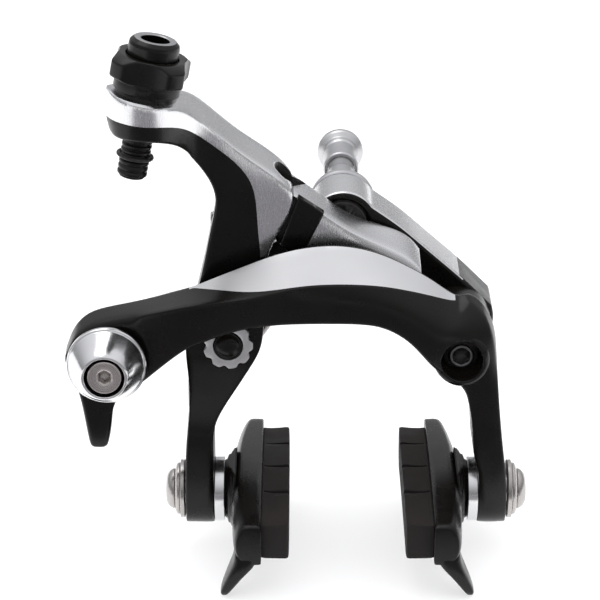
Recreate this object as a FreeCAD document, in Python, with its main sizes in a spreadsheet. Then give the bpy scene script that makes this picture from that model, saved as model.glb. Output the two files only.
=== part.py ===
"""Rim brake caliper with two symmetric pivots, modelled as separate pieces.

Frame: origin at the centre of the rear face of the fork washer, on the axis of the mounting
bolt. +X to the right seen from the front, +Y to the rear (towards the fork), +Z up.
A "depth" is a distance in front of the fork face, so a depth of d lies at Y = -d.
All lengths are in millimetres.
"""
import FreeCAD, Part
import math
import os
import re

import Sketcher
from FreeCAD import Placement, Rotation, Vector

SIZES = {
    # pivots and mounting bolt
    "pivot_half": 24.0, "pivot_drop": 21.0, "pivot_pin": 3.0, "bush_bore": 3.06,
    "bush_outer": 4.2, "stud_radius": 3.0, "shoulder_radius": 3.4, "stud_free": 22.0,
    "nut_front": 20.4, "nut_radius": 3.95, "nut_rear": 32.0, "nut_flange": 5.15, "nut_end": 34.4,
    # layers, as depths in front of the fork face
    "washer_front": 2.0, "serrated_front": 3.4, "bracket_front": 16.4,
    "rear_arm_back": 17.2, "rear_arm_front": 30.8, "front_arm_back": 31.4,
    "front_arm_front": 42.4, "slant_depth": 33.4, "leg_back": 25.8, "leg_front": 40.2, "leg_middle": 33.0,
    # shoe fixing
    "bolt_drop": 53.0, "slot_travel": 9.0, "slot_half": 3.3, "leg_end": 7.2,
    "leg_thickness": 6.1, "left_leg_face": -27.0, "right_leg_face": 28.1,
    "shoe_bolt": 3.0, "spacer_width": 2.1, "spacer_radius": 6.8, "cup_width": 1.4,
    "holder_width": 6.0, "pad_width": 6.2, "rim_radius": 311.0,
    "pad_half_height": 4.3, "pad_half_length": 24.0, "holder_half_height": 6.0,
    "holder_half_length": 26.0,
    # cable anchor and quick release
    "anchor_half": 48.5, "anchor_boss": 8.9, "anchor_back": 33.0, "anchor_front": 39.3,
    "cam_radius": 4.4, "lever_back": 39.5, "lever_front": 41.8, "cap_back": 42.0,
    "cap_radius": 8.15, "cap_mouth": 4.1, "anchor_screw": 3.5,
    # barrel adjuster, measured up its own axis from the top of its boss
    "barrel_x": -39.9, "barrel_top_z": 33.5, "barrel_lean": 10.7, "barrel_depth": 35.0,
    "boss_radius": 8.0, "boss_height": 9.5, "thread_radius": 3.05, "collar_radius": 6.85,
    "collar_top": 3.7, "knob_top": 8.8, "barrel_radius": 5.15, "barrel_end": 12.2,
    "thread_end": 16.8, "housing_radius": 2.9,
    # link between the arms and the centring screw
    "link_drop": 4.0, "roller_radius": 3.0, "roller_pin": 1.6, "screw_depth": 23.0, "screw_z": 3.4,
}

# Corners of the cover over the link extension, clockwise seen from the front.
COVER_CORNERS = [(-9.7, 10.6), (-4.6, 6.6), (-8.6, -1.2), (-13.4, 0.6)]

FRONT = Rotation(Vector(1, 0, 0), 90)
REAR = Rotation(Vector(1, 0, 0), -90)
RIGHT = Rotation(Vector(0, 1, 0), 90)
LEFT = Rotation(Vector(0, 1, 0), -90)
UP = Rotation()
SIDE_SKETCH = Rotation(Vector(1, 1, 1), 120)

doc = FreeCAD.newDocument("rim_brake_caliper")
sheet = doc.addObject("Spreadsheet::Sheet", "sizes")
for line, (alias, number) in enumerate(SIZES.items(), start=1):
    sheet.set("A%d" % line, alias)
    sheet.set("B%d" % line, str(number))
    sheet.setAlias("B%d" % line, alias)
doc.recompute()

nodes = []


def formula(text):
    """Write the sheet's name in front of every alias in an expression."""
    return re.sub(r"[a-z_]{3,}", lambda w: "sizes." + w.group() if w.group() in SIZES else w.group(), text)


def number(value):
    """The present value of a number or of an expression over the sheet's aliases."""
    if not isinstance(value, str):
        return float(value)
    doc_value = sheet.evalExpression(formula(value))
    return float(getattr(doc_value, "Value", doc_value))


def bind(thing, prop, value):
    """Set a property to a number, or bind it to an expression over the sheet."""
    if isinstance(value, str):
        thing.setExpression(prop, formula(value))
    else:
        owner, _, last = prop.rpartition(".")
        if owner:
            thing.setExpression(prop, repr(float(value)))
        else:
            setattr(thing, last, value)


def place(thing, x, depth, z, turn=UP):
    """Put a thing at (x, -depth, z) with a rotation, all three bound to the sheet."""
    thing.Placement = Placement(Vector(number(x), -number(depth), number(z)), turn)
    bind(thing, "Placement.Base.x", x)
    bind(thing, "Placement.Base.y", "-(%s)" % depth)
    bind(thing, "Placement.Base.z", z)
    return thing


def node(thing, label):
    """Name a finished sub-part; its label is its file's name."""
    thing.Label = label
    nodes.append(thing)
    return thing


# ---------------------------------------------------------------- sketches and solids


def origin_plane(body, role):
    return next(item for item in body.Origin.OriginFeatures if item.Role == role)


def body_sketch(body, name, role="XZ_Plane"):
    sketch = body.newObject("Sketcher::SketchObject", name)
    sketch.AttachmentSupport = [(origin_plane(body, role), "")]
    sketch.MapMode = "FlatFace"
    return sketch


def draw(sketch, start, steps):
    """A closed outline from a start point: ("line", end), ("arc", through, end), ("curve", points)."""
    here = Vector(*start, 0)
    for step in steps:
        points = [Vector(*point, 0) for point in (step[1] if step[0] == "curve" else step[1:])]
        if step[0] == "line":
            sketch.addGeometry(Part.LineSegment(here, points[-1]), False)
        elif step[0] == "arc":
            sketch.addGeometry(Part.Arc(here, points[0], points[1]), False)
        else:
            curve = Part.BSplineCurve()
            curve.interpolate([here] + points)
            sketch.addGeometry(curve, False)
        here = points[-1]
    return sketch


def corners(points):
    """Straight steps round a polygon and back to its first point."""
    return points[0], [("line", point) for point in points[1:] + points[:1]]


def slab(name, outline, depth_from, depth_to):
    """An outline seen from the front, solid between two depths."""
    sketch = draw(doc.addObject("Sketcher::SketchObject", name + "_outline"), *outline)
    place(sketch, 0, depth_from, 0, FRONT)
    solid = doc.addObject("Part::Extrusion", name)
    solid.Base = sketch
    solid.DirMode = "Normal"
    solid.Solid = True
    bind(solid, "LengthFwd", "%s - (%s)" % (depth_to, depth_from))
    return solid


def side_slab(name, outline, x_from, width):
    """An outline seen from the right, in (Y, Z), solid from x_from over a width."""
    sketch = draw(doc.addObject("Sketcher::SketchObject", name + "_outline"), *outline)
    place(sketch, x_from, 0, 0, SIDE_SKETCH)
    solid = doc.addObject("Part::Extrusion", name)
    solid.Base = sketch
    solid.DirMode = "Normal"
    solid.Solid = True
    bind(solid, "LengthFwd", width)
    return solid


def rod(name, x, depth, z, turn, radius, length):
    """A cylinder that starts at a point and runs along the turned Z."""
    solid = doc.addObject("Part::Cylinder", name)
    bind(solid, "Radius", radius)
    bind(solid, "Height", length)
    return place(solid, x, depth, z, turn)


def block(name, x, depth, z, turn, size):
    """A box with one corner at a point."""
    solid = doc.addObject("Part::Box", name)
    for prop, value in zip(("Length", "Width", "Height"), size):
        bind(solid, prop, value)
    return place(solid, x, depth, z, turn)


def combine(kind, name, *solids):
    """Part::MultiFuse or Part::MultiCommon of several solids."""
    result = doc.addObject(kind, name)
    result.Shapes = list(solids)
    return result


def cut(name, base, *tools):
    """The base with every tool taken away."""
    result = doc.addObject("Part::Cut", name)
    result.Base = base
    result.Tool = tools[0] if len(tools) == 1 else combine("Part::MultiFuse", name + "_tools", *tools)
    return result


def turned(label, profile, x, depth, z, turn):
    """A body of revolution about its own Z from a closed (radius, height) profile."""
    body = doc.addObject("PartDesign::Body", label + "_body")
    sketch = body_sketch(body, label + "_profile")
    points = [(number(r), number(h)) for r, h in profile]
    for start, end in zip(points, points[1:] + points[:1]):
        sketch.addGeometry(Part.LineSegment(Vector(*start, 0), Vector(*end, 0)), False)
    count = len(points)
    for i in range(count):
        sketch.addConstraint(Sketcher.Constraint("Coincident", i, 2, (i + 1) % count, 1))
    for i, (values, spot) in enumerate(zip(profile, points)):
        for kind, value, amount, axis in (("DistanceX", values[0], spot[0], -2),
                                          ("DistanceY", values[1], spot[1], -1)):
            if abs(amount) < 1e-9:
                sketch.addConstraint(Sketcher.Constraint("PointOnObject", i, 1, axis))
            else:
                index = sketch.addConstraint(Sketcher.Constraint(kind, -1, 1, i, 1, amount))
                if isinstance(value, str):
                    sketch.setExpression("Constraints[%d]" % index, formula(value))
    turning = body.newObject("PartDesign::Revolution", label + "_turned")
    turning.Profile = sketch
    turning.ReferenceAxis = (sketch, ["V_Axis"])
    turning.Angle = 360
    place(body, x, depth, z, turn)
    return node(body, label)


def ring_profile(inner, outer, low, high):
    return [(inner, low), (outer, low), (outer, high), (inner, high)]


def lobed_outline(lobes, low_radius, high_radius, hollow, phase=0.0):
    """A closed outline whose radius swings between two values: lands joined by hollow arcs."""
    def at(radius, angle):
        return (radius * math.cos(angle), radius * math.sin(angle))
    pitch = 2 * math.pi / lobes
    land = pitch * (1 - hollow)
    steps = []
    for k in range(lobes):
        middle = phase + k * pitch
        steps.append(("arc", at(high_radius, middle), at(high_radius, middle + land / 2)))
        steps.append(("arc", at(low_radius, middle + pitch / 2), at(high_radius, middle + pitch - land / 2)))
    return at(high_radius, phase - land / 2), steps


def padded_body(label, outline, length):
    """A body whose first feature is an outline padded along its own Z."""
    body = doc.addObject("PartDesign::Body", label + "_body")
    sketch = draw(body_sketch(body, label + "_outline", "XY_Plane"), *outline)
    pad = body.newObject("PartDesign::Pad", label + "_pad")
    pad.Profile = sketch
    bind(pad, "Length", length)
    return body


def bore_body(body, name, radius, low, depth):
    """A round pocket down the body's own axis, from the height low + depth to low."""
    sketch = body_sketch(body, name + "_circle", "XY_Plane")
    bind(sketch, "AttachmentOffset.Base.z", "%s + %s" % (low, depth))
    circle = sketch.addGeometry(Part.Circle(Vector(), Vector(0, 0, 1), number(radius)), False)
    sketch.addConstraint(Sketcher.Constraint("Coincident", circle, 3, -1, 1))
    index = sketch.addConstraint(Sketcher.Constraint("Radius", circle, number(radius)))
    if isinstance(radius, str):
        sketch.setExpression("Constraints[%d]" % index, formula(radius))
    pocket = body.newObject("PartDesign::Pocket", name)
    pocket.Profile = sketch
    bind(pocket, "Length", depth)
    return pocket


# ---------------------------------------------------------------- bracket and mounting bolt


def bracket_bridge():
    """Rear bridge: a boss for the mounting bolt and an eye for each pivot."""
    outline = ((7.0, 1.5), [
        ("curve", [(18.8, -6.8), (26.2, -12.4), (31.5, -18.3)]),
        ("arc", (28.0, -27.93), (16.5, -23.7)),
        ("curve", [(10.5, -14.8), (0.0, -10.2), (-10.5, -14.8), (-16.5, -23.7)]),
        ("arc", (-28.0, -27.93), (-31.5, -18.3)),
        ("curve", [(-26.2, -12.4), (-18.8, -6.8), (-7.0, 1.5)]),
        ("arc", (0.0, 7.16), (7.0, 1.5))])
    bridge = slab("bridge_plate", outline, "serrated_front", "bracket_front")
    post = rod("right_post", "pivot_half", "bracket_front - 1", "-pivot_drop", FRONT, 7.2,
               "front_arm_back - bracket_front + 0.4")
    solid = combine("Part::MultiFuse", "bridge_solid", bridge, post)
    holes = [rod("bolt_bore", 0, 0, 0, FRONT, "shoulder_radius", "bracket_front + 1"),
             rod("bolt_seat", 0, "bracket_front - 3.6", 0, FRONT, 5.2, 6),
             rod("left_pin_bore", "-pivot_half", 0, "-pivot_drop", FRONT, "pivot_pin", 20),
             rod("right_pin_bore", "pivot_half", 0, "-pivot_drop", FRONT, "pivot_pin", 40)]
    return node(cut("bridge", solid, *holes), "bracket_bridge")


def mounting_parts():
    """Mounting bolt, sleeve nut and the two washers against the fork."""
    turned("mounting_bolt",
           [(0, 0), (5.0, 0), (5.0, 3.2), ("shoulder_radius", 3.2),
            ("shoulder_radius", "bracket_front - washer_front"),
            ("stud_radius", "bracket_front - washer_front"),
            ("stud_radius", "bracket_front + stud_free"), (0, "bracket_front + stud_free")],
           0, "bracket_front", 0, REAR)
    turned("recessed_nut",
           [("stud_radius", 0), ("nut_radius", 0), ("nut_radius", "nut_rear - nut_front"),
            ("nut_flange", "nut_rear - nut_front + 0.6"), ("nut_flange", "nut_end - nut_front"),
            (2.5, "nut_end - nut_front"), (2.5, "stud_free - nut_front + 2"),
            ("stud_radius", "stud_free - nut_front + 2")],
           0, "-nut_front", 0, REAR)
    turned("fork_washer", ring_profile("stud_radius + 0.1", 7.0, 0, "washer_front"), 0, "washer_front", 0, REAR)
    teeth = 36
    ring = padded_body("serrated_washer", lobed_outline(teeth, 6.1, 6.5, 0.5), "serrated_front - washer_front")
    bore_body(ring, "serrated_bore", "shoulder_radius + 0.1", 0, "serrated_front - washer_front")
    place(ring, 0, "serrated_front", 0, REAR)
    node(ring, "serrated_washer")


def pivot_parts():
    """Pivot pins, thrust washers, the bearing lock ring and its cap, and the two bushes."""
    turned("left_pivot_bolt",
           [(0, 0), ("pivot_pin", 0), ("pivot_pin", "rear_arm_front - 5"), (0, "rear_arm_front - 5")],
           "-pivot_half", 5, "-pivot_drop", FRONT)
    turned("left_pivot_cap",
           [(0, 0), (3.0, 0), (3.0, 1.5), (2.2, 2.3), (0, 2.6)],
           "-pivot_half", "rear_arm_front", "-pivot_drop", FRONT)
    ring = padded_body("left_lock_ring", lobed_outline(9, 4.5, 5.15, 0.45), 1.5)
    bore_body(ring, "lock_ring_bore", 3.06, 0, 1.5)
    place(ring, "-pivot_half", "rear_arm_front + 0.15", "-pivot_drop", FRONT)
    node(ring, "left_lock_ring")
    turned("left_thrust_washer", ring_profile("pivot_pin + 0.05", 6.5, 0, 0.55),
           "-pivot_half", "bracket_front + 0.05", "-pivot_drop", FRONT)
    head = 35.9
    turned("right_pivot_bolt",
           [(0, 0), ("pivot_pin", 0), ("pivot_pin", head - 8), (3.7, head - 8), (3.7, head - 5.3),
            (3.3, head - 5), (1.8, head - 5), (1.8, head - 7), (0, head - 7)],
           "pivot_half", 8, "-pivot_drop", FRONT)
    turned("left_pivot_bush", ring_profile("bush_bore", "bush_outer", 0, "rear_arm_front - rear_arm_back"),
           "-pivot_half", "rear_arm_back", "-pivot_drop", FRONT)
    turned("right_pivot_bush", ring_profile("bush_bore", "bush_outer", 0, 4.2),
           "pivot_half", "front_arm_back", "-pivot_drop", FRONT)


def spring_parts():
    """Bent wire return spring, its clip on the bridge and a seat on each arm."""
    wire = 0.8
    depth = 10.0
    route = [(-30.2, -32.6), (-20.5, -31.2), (-13.0, -20.6), (0.0, -13.2),
             (13.0, -20.6), (20.5, -31.2), (29.8, -32.6)]
    points = [Vector(x, -depth, z) for x, z in route]
    edges = []
    here = points[0]
    bend = 3.0
    for before, at, after in zip(points, points[1:], points[2:]):
        towards = (at - before).normalize()
        onward = (after - at).normalize()
        start = at - towards * bend
        end = at + onward * bend
        half = towards.getAngle(onward) / 2
        inward = (onward - towards).normalize()
        middle = at + inward * (bend * math.tan(half) * (1 / math.sin(math.pi / 2 - half) - 1) / math.tan(half) ** 2)
        edges.append(Part.LineSegment(here, start).toShape())
        edges.append(Part.Arc(start, middle, end).toShape())
        here = end
    edges.append(Part.LineSegment(here, points[-1]).toShape())
    path = Part.Wire(edges)
    section = Part.Wire(Part.Circle(points[0], points[1] - points[0], wire).toShape())
    spring = doc.addObject("Part::Feature", "spring_wire")
    spring.Shape = path.makePipeShell([section], True, False)
    node(spring, "return_spring")
    clip = block("clip_block", -4, 14, -19.0, UP, (8, 8, 7.5))
    trough = block("clip_trough", -5, depth + wire + 0.1, -16.6, UP, (10, 2 * wire + 0.2, 6.0))
    node(cut("clip", clip, trough), "spring_clip")


# ---------------------------------------------------------------- arms


def leg_side_outline(top_back, top_front, step_z):
    """Side view (Y, Z) of a leg: it changes depth below the pivot and ends in a half round."""
    back = -number("leg_back")
    front = -number("leg_front")
    bolt = -number("bolt_drop")
    middle = -number("leg_middle")
    leg_top = -18.0
    shoulder_z = -27.5
    return (back, bolt), [
        ("line", (back, -31.0)), ("line", (-top_back, step_z)), ("line", (-top_back, leg_top)),
        ("line", (-top_front, leg_top)), ("line", (-top_front, shoulder_z)), ("line", (front, -36.0)),
        ("line", (front, bolt)), ("arc", (middle, bolt - number("leg_end")), (back, bolt))]


def shoe_slot(name, x):
    """Upright slot through a leg for the shoe bolt."""
    ends = [rod(name + "_low", x, "leg_middle", "-bolt_drop", RIGHT, "slot_half", 12),
            rod(name + "_high", x, "leg_middle", "slot_travel - bolt_drop", RIGHT, "slot_half", 12)]
    flat = block(name + "_flat", x, "leg_middle + slot_half", "-bolt_drop", UP,
                 (12, "2 * slot_half", "slot_travel"))
    return ends + [flat]


def barrel_direction():
    return Rotation(Vector(0, 1, 0), number("barrel_lean"))


def barrel_place(thing, up):
    """Put a thing on the adjuster's leaning axis, a distance up from the top of the boss."""
    lean = math.radians(number("barrel_lean"))
    x = number("barrel_x") + number(up) * math.sin(lean)
    z = number("barrel_top_z") + number(up) * math.cos(lean)
    thing.Placement = Placement(Vector(x, -number("barrel_depth"), z), barrel_direction())
    bind(thing, "Placement.Base.y", "-barrel_depth")
    return thing


def leaning_rod(name, up, radius, length):
    solid = doc.addObject("Part::Cylinder", name)
    bind(solid, "Radius", radius)
    bind(solid, "Height", length)
    return barrel_place(solid, up)


def left_arm():
    """Rear arm: adjuster boss at its top left, link extension over the centre, left leg below."""
    plate = slab("left_plate", ((-33.4, -23.0), [
        ("curve", [(-32.6, -16.0), (-29.0, -3.0), (-27.0, 7.2), (-26.2, 11.5), (-27.4, 15.2), (-31.0, 19.4)]),
        ("curve", [(-35.3, 22.0), (-39.5, 24.0)]),
        ("line", (-37.0, 32.2)), ("line", (-33.0, 30.6)), ("line", (-9.0, 11.5)),
        ("curve", [(-2.7, 6.4), (1.0, 3.4), (6.3, 0.8), (12.0, -1.5), (16.2, -4.8)]),
        ("line", (16.2, -11.3)), ("line", (-3.0, -11.3)),
        ("curve", [(-11.0, -12.6), (-16.3, -16.8)]), ("line", (-16.7, -22.5)),
        ("line", (-18.7, -25.4)), ("line", (-25.5, -29.0)), ("line", (-33.4, -29.0)),
        ("line", (-33.4, -23.0))]), "rear_arm_back", "rear_arm_front")
    face = number("left_leg_face")
    outer = face - number("leg_thickness")
    leg_front_view = slab("left_leg_front_view", corners([
        (-33.4, -18.0), (-31.9, -27.0), (-32.0, -33.0), (outer, -41.0), (outer, -61.0), (face, -61.0),
        (face, -36.6), (-26.0, -34.0), (-18.7, -25.2), (-16.7, -22.5), (-16.7, -18.0)]), 10, 45)
    leg_side_view = side_slab("left_leg_side_view", leg_side_outline(
        number("rear_arm_back"), number("rear_arm_front"), -25.0), -40, 30)
    leg = combine("Part::MultiCommon", "left_leg", leg_front_view, leg_side_view)
    boss = leaning_rod("adjuster_boss", "-boss_height", "boss_radius", "boss_height")
    neck = slab("adjuster_neck", corners([(-39.5, 24.2), (-29.5, 19.6), (-29.5, 28.0), (-33.0, 30.6),
                                          (-38.5, 32.4)]), "rear_arm_front - 3", 39)
    solid = combine("Part::MultiFuse", "left_arm_solid", plate, leg, boss, neck)
    roller_way = 3.6
    way_ends = [rod("way_start", 0, "rear_arm_back - 1", -3.85, FRONT, roller_way, 20),
                rod("way_end", 8.0, "rear_arm_back - 1", -5.3, FRONT, roller_way, 20)]
    slope = math.atan2(-1.45, 8.0)
    way_flat = slab("way_flat", corners([
        (-roller_way * math.sin(slope), -3.85 + roller_way * math.cos(slope)),
        (roller_way * math.sin(slope), -3.85 - roller_way * math.cos(slope)),
        (8.0 + roller_way * math.sin(slope), -5.3 - roller_way * math.cos(slope)),
        (8.0 - roller_way * math.sin(slope), -5.3 + roller_way * math.cos(slope))]), 16, 36)
    tools = way_ends + [
        way_flat,
        rod("left_pivot_bore", "-pivot_half", 16, "-pivot_drop", FRONT, "bush_outer", 30),
        leaning_rod("adjuster_bore", -14, "thread_radius + 0.1", 18),
        slab("cover_recess", corners(COVER_CORNERS), "rear_arm_front - 2.5", "rear_arm_front + 4"),
        block("oval_recess", -12.6, 24.5, 5.0, UP, (4.6, 4.2, 12)),
        rod("centring_bore", -36, "screw_depth", "screw_z", RIGHT, 1.55, 14.2),
        rod("centring_head_seat", -36, "screw_depth", "screw_z", RIGHT, 2.35, 8.9)]
    tools += shoe_slot("left_slot", face - number("leg_thickness") - 3)
    return node(cut("left_arm_cut", solid, *tools), "left_arm")


def front_arm_outline(share):
    """Outline of the front arm's plate; its top edge sinks by a share of the slant."""
    top = [(-47.5, -12.2), (-41.0, -10.0), (-31.3, -7.6), (-21.2, -3.4), (-11.0, 0.6), (-1.5, 1.7),
           (7.0, 0.2), (16.0, -4.4), (24.3, -8.0), (29.6, -12.6), (31.4, -20.5)]
    sink = [1.0, 2.5, 3.6, 4.8, 5.4, 5.6, 5.4, 4.2, 2.6, 1.4, 0.4]
    sunk = [(x, z - share * drop) for (x, z), drop in zip(top, sink)]
    return sunk[0], [
        ("curve", sunk[1:]), ("line", (32.0, -29.0)), ("line", (25.7, -29.0)),
        ("curve", [(22.6, -26.0), (18.6, -23.4), (15.3, -18.8), (9.0, -14.0), (0.0, -12.7),
                   (-12.0, -12.7), (-21.3, -13.9), (-31.0, -17.6), (-41.5, -26.0)]),
        ("line", sunk[0])]


def front_arm():
    """Front arm: cable anchor boss at its left end, slanting top face, right leg below."""
    back_layer = slab("front_plate", front_arm_outline(0.0), "front_arm_back", "slant_depth")
    sections = []
    for name, depth, share in (("slant_back", "slant_depth", 0.0), ("slant_front", "front_arm_front", 1.0)):
        sketch = draw(doc.addObject("Sketcher::SketchObject", name), *front_arm_outline(share))
        sections.append(place(sketch, 0, depth, 0, FRONT))
    front_layer = doc.addObject("Part::Loft", "front_slanted")
    front_layer.Sections = sections
    front_layer.Solid = True
    front_layer.Ruled = True
    plate = combine("Part::MultiFuse", "front_plate_whole", back_layer, front_layer)
    boss = rod("anchor_boss_rod", "-anchor_half", "anchor_back", "-pivot_drop", FRONT,
               "anchor_boss", "anchor_front - anchor_back")
    face = number("right_leg_face")
    outer = face + number("leg_thickness")
    leg_front_view = slab("right_leg_front_view", corners([
        (31.3, -18.0), (32.0, -29.0), (32.4, -34.0), (outer, -45.0), (outer, -61.0), (face, -61.0),
        (face, -36.6), (26.4, -33.0), (25.7, -28.8), (19.0, -24.0), (18.0, -18.0)]), 10, 45)
    leg_side_view = side_slab("right_leg_side_view", leg_side_outline(
        number("front_arm_back"), number("front_arm_front"), -29.2), 10, 30)
    leg = combine("Part::MultiCommon", "right_leg", leg_front_view, leg_side_view)
    solid = combine("Part::MultiFuse", "front_arm_solid", plate, boss, leg)
    end_relief = slab("anchor_relief", corners([
        (-60.0, -32.0), (-60.0, -9.0), (-41.8, -9.0), (-39.0, -22.0), (-40.5, -32.0)]), "anchor_front", 50)
    tools = [end_relief,
             rod("right_pivot_bore", "pivot_half", 25, "-pivot_drop", FRONT, "bush_outer", 30),
             rod("bolt_head_pocket", "pivot_half", 35.6, "-pivot_drop", FRONT, 4.5, 12),
             rod("cam_bore", "-anchor_half", 30, "-pivot_drop", FRONT, "cam_radius + 0.06", 15),
             rod("cam_flange_seat", "-anchor_half", 30, "-pivot_drop", FRONT, 6.4, "anchor_back - 30"),
             rod("roller_pin_bore", 0, 25, "-link_drop", FRONT, "roller_pin", 12)]
    tools += shoe_slot("right_slot", face - 3)
    return node(cut("front_arm_cut", solid, *tools), "front_arm")


def link_parts():
    """Roller on a pin of the front arm, which lifts the rear arm's extension; and its cover."""
    turned("roller_pin",
           [(0, 0), ("roller_pin", 0), ("roller_pin", 18.8), (0, 18.8)], 0, 18.2, "-link_drop", FRONT)
    turned("link_roller", ring_profile("roller_pin + 0.06", "roller_radius", 0, 11.0),
           0, 19.2, "-link_drop", FRONT)
    node(slab("link_cover_plate", corners(COVER_CORNERS), "rear_arm_front - 2.4", "rear_arm_front - 0.1"),
         "link_cover")
    turned("centring_screw",
           [(0, 0.9), (1.2, 0.9), (1.2, 0), (2.2, 0), (2.2, 1.8), (1.5, 1.8), (1.5, 6.8), (0, 6.8)],
           -28.9, "screw_depth", "screw_z", RIGHT)
    node(spring_seat("left_spring_seat_solid", -32.6), "left_spring_seat")
    node(spring_seat("right_spring_seat_solid", 26.9), "right_spring_seat")


def spring_seat(name, x):
    """Plastic seat behind a leg: a block with a trough that the spring's end rests in."""
    seat = block(name + "_block", x, 25.7, -37.6, UP, (5.2, 17.0, 6.4))
    trough = block(name + "_trough", x - 1, 11.4, -33.7, UP, (7.2, 2.8, 9.0))
    return cut(name, seat, trough)


# ---------------------------------------------------------------- cable anchor and quick release


def anchor_parts():
    """Quick-release cam and lever, cable clamp plate, conical cap and anchor screw."""
    turned("quick_release_cam",
           [(0, 0), (6.2, 0), (6.2, 1.4), ("cam_radius", 1.4), ("cam_radius", 8.1), (0, 8.1)],
           "-anchor_half", 31.4, "-pivot_drop", FRONT)
    hub = number("cap_radius") - 0.9
    lever = slab("lever_plate", ((-hub + 0.4, -2.0), [
        ("arc", (0.0, hub), (hub - 0.4, -2.0)),
        ("curve", [(5.0, -6.0), (1.3, -9.6), (1.1, -13.0), (0.4, -16.5)]),
        ("arc", (-1.4, -18.7), (-3.4, -16.6)),
        ("curve", [(-4.6, -12.5), (-5.5, -8.6), (-hub + 0.4, -2.0)])]), 0, 2.3)
    place(lever, "-anchor_half", "lever_back", "-pivot_drop")
    node(lever, "quick_release_lever")
    turned("cable_clamp_plate", ring_profile("anchor_screw - 1", 5.9, 0, 1.0),
           "-anchor_half", "cap_back", "-pivot_drop", FRONT)
    turned("quick_release_cap",
           [(6.1, 0), ("cap_radius - 0.3", 0), ("cap_radius", 0.4), ("cap_radius", 1.2),
            ("cap_radius - 0.6", 2.6), (6.0, 5.4), (5.0, 7.2), (4.6, 7.9), ("cap_mouth", 8.0),
            ("cap_mouth", 3.4), ("anchor_screw - 1", 3.4), ("anchor_screw - 1", 1.1), (6.1, 1.1)],
           "-anchor_half", "cap_back", "-pivot_drop", FRONT)
    turned("cable_anchor_screw",
           [(0, 0), ("anchor_screw - 1.05", 0), ("anchor_screw - 1.05", 3.5), ("anchor_screw", 3.5),
            ("anchor_screw", 7.7), (1.3, 7.2), (1.3, 5.0), (0, 5.0)],
           "-anchor_half", "cap_back", "-pivot_drop", FRONT)


# ---------------------------------------------------------------- barrel adjuster


def adjuster_parts():
    """Hollow threaded barrel, its four-lobed nut with a collar, and the wire stop ring."""
    barrel = turned("adjuster_barrel",
                    [("housing_radius", "thread_end - 0.5"), ("thread_radius - 0.9", "thread_end - 1.5"),
                     (1.2, "thread_end - 1.5"), (1.2, 0), ("thread_radius", 0),
                     ("thread_radius", "thread_end + knob_top - 1.4"),
                     ("barrel_radius - 0.3", "thread_end + knob_top - 1.4"),
                     ("barrel_radius", "thread_end + knob_top - 1"),
                     ("barrel_radius", "thread_end + barrel_end - 0.8"),
                     ("barrel_radius - 0.7", "thread_end + barrel_end"),
                     ("housing_radius", "thread_end + barrel_end")],
                    0, 0, 0, UP)
    barrel.setExpression("Placement.Base.x", None)
    barrel.setExpression("Placement.Base.z", None)
    barrel_place(barrel, "-thread_end")
    knob = padded_body("adjuster_knob", lobed_outline(4, 6.75, 8.9, 0.72, math.radians(40)),
                       "knob_top - collar_top")
    collar_sketch = body_sketch(knob, "collar_circle", "XY_Plane")
    circle = collar_sketch.addGeometry(Part.Circle(Vector(), Vector(0, 0, 1), number("collar_radius")), False)
    collar_sketch.addConstraint(Sketcher.Constraint("Coincident", circle, 3, -1, 1))
    index = collar_sketch.addConstraint(Sketcher.Constraint("Radius", circle, number("collar_radius")))
    collar_sketch.setExpression("Constraints[%d]" % index, formula("collar_radius"))
    collar = knob.newObject("PartDesign::Pad", "collar")
    collar.Profile = collar_sketch
    collar.Reversed = True
    bind(collar, "Length", "collar_top - 0.2")
    bore_body(knob, "knob_bore", "thread_radius + 0.08", "-collar_top", "knob_top")
    bore_body(knob, "knob_recess", "barrel_radius + 0.1", "knob_top - collar_top - 1.7", 1.7)
    barrel_place(knob, "collar_top")
    node(knob, "adjuster_knob")
    ring = turned("barrel_stop_ring",
                  [("thread_radius", 0), ("thread_radius + 0.75", 0), ("thread_radius + 0.75", 0.8),
                   ("thread_radius", 0.8)], 0, 0, 0, UP)
    ring.setExpression("Placement.Base.x", None)
    ring.setExpression("Placement.Base.z", None)
    barrel_place(ring, -12.7)


# ---------------------------------------------------------------- brake shoes


def rim_arc_outline(half_length, half_height, drop=0.0):
    """Side view (Y, Z) of a shoe that follows the rim: two arcs about the wheel's centre."""
    middle = -number("leg_middle")
    mid_z = -number("bolt_drop") - drop
    radius = number("rim_radius")
    centre_z = mid_z - radius

    def at(offset, along):
        angle = along / radius
        return (middle + (radius + offset) * math.sin(angle), centre_z + (radius + offset) * math.cos(angle))
    top = [at(half_height, along) for along in (-half_length, 0, half_length)]
    low = [at(-half_height, along) for along in (half_length, 0, -half_length)]
    return top[0], [("arc", top[1], top[2]), ("line", low[0]), ("arc", low[1], low[2]), ("line", top[0])]


def span(side, face, start, width):
    """The lowest X of a slab that starts a distance inwards of a leg's inner face."""
    near = number(face) - side * start
    return min(near, near - side * width)


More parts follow.
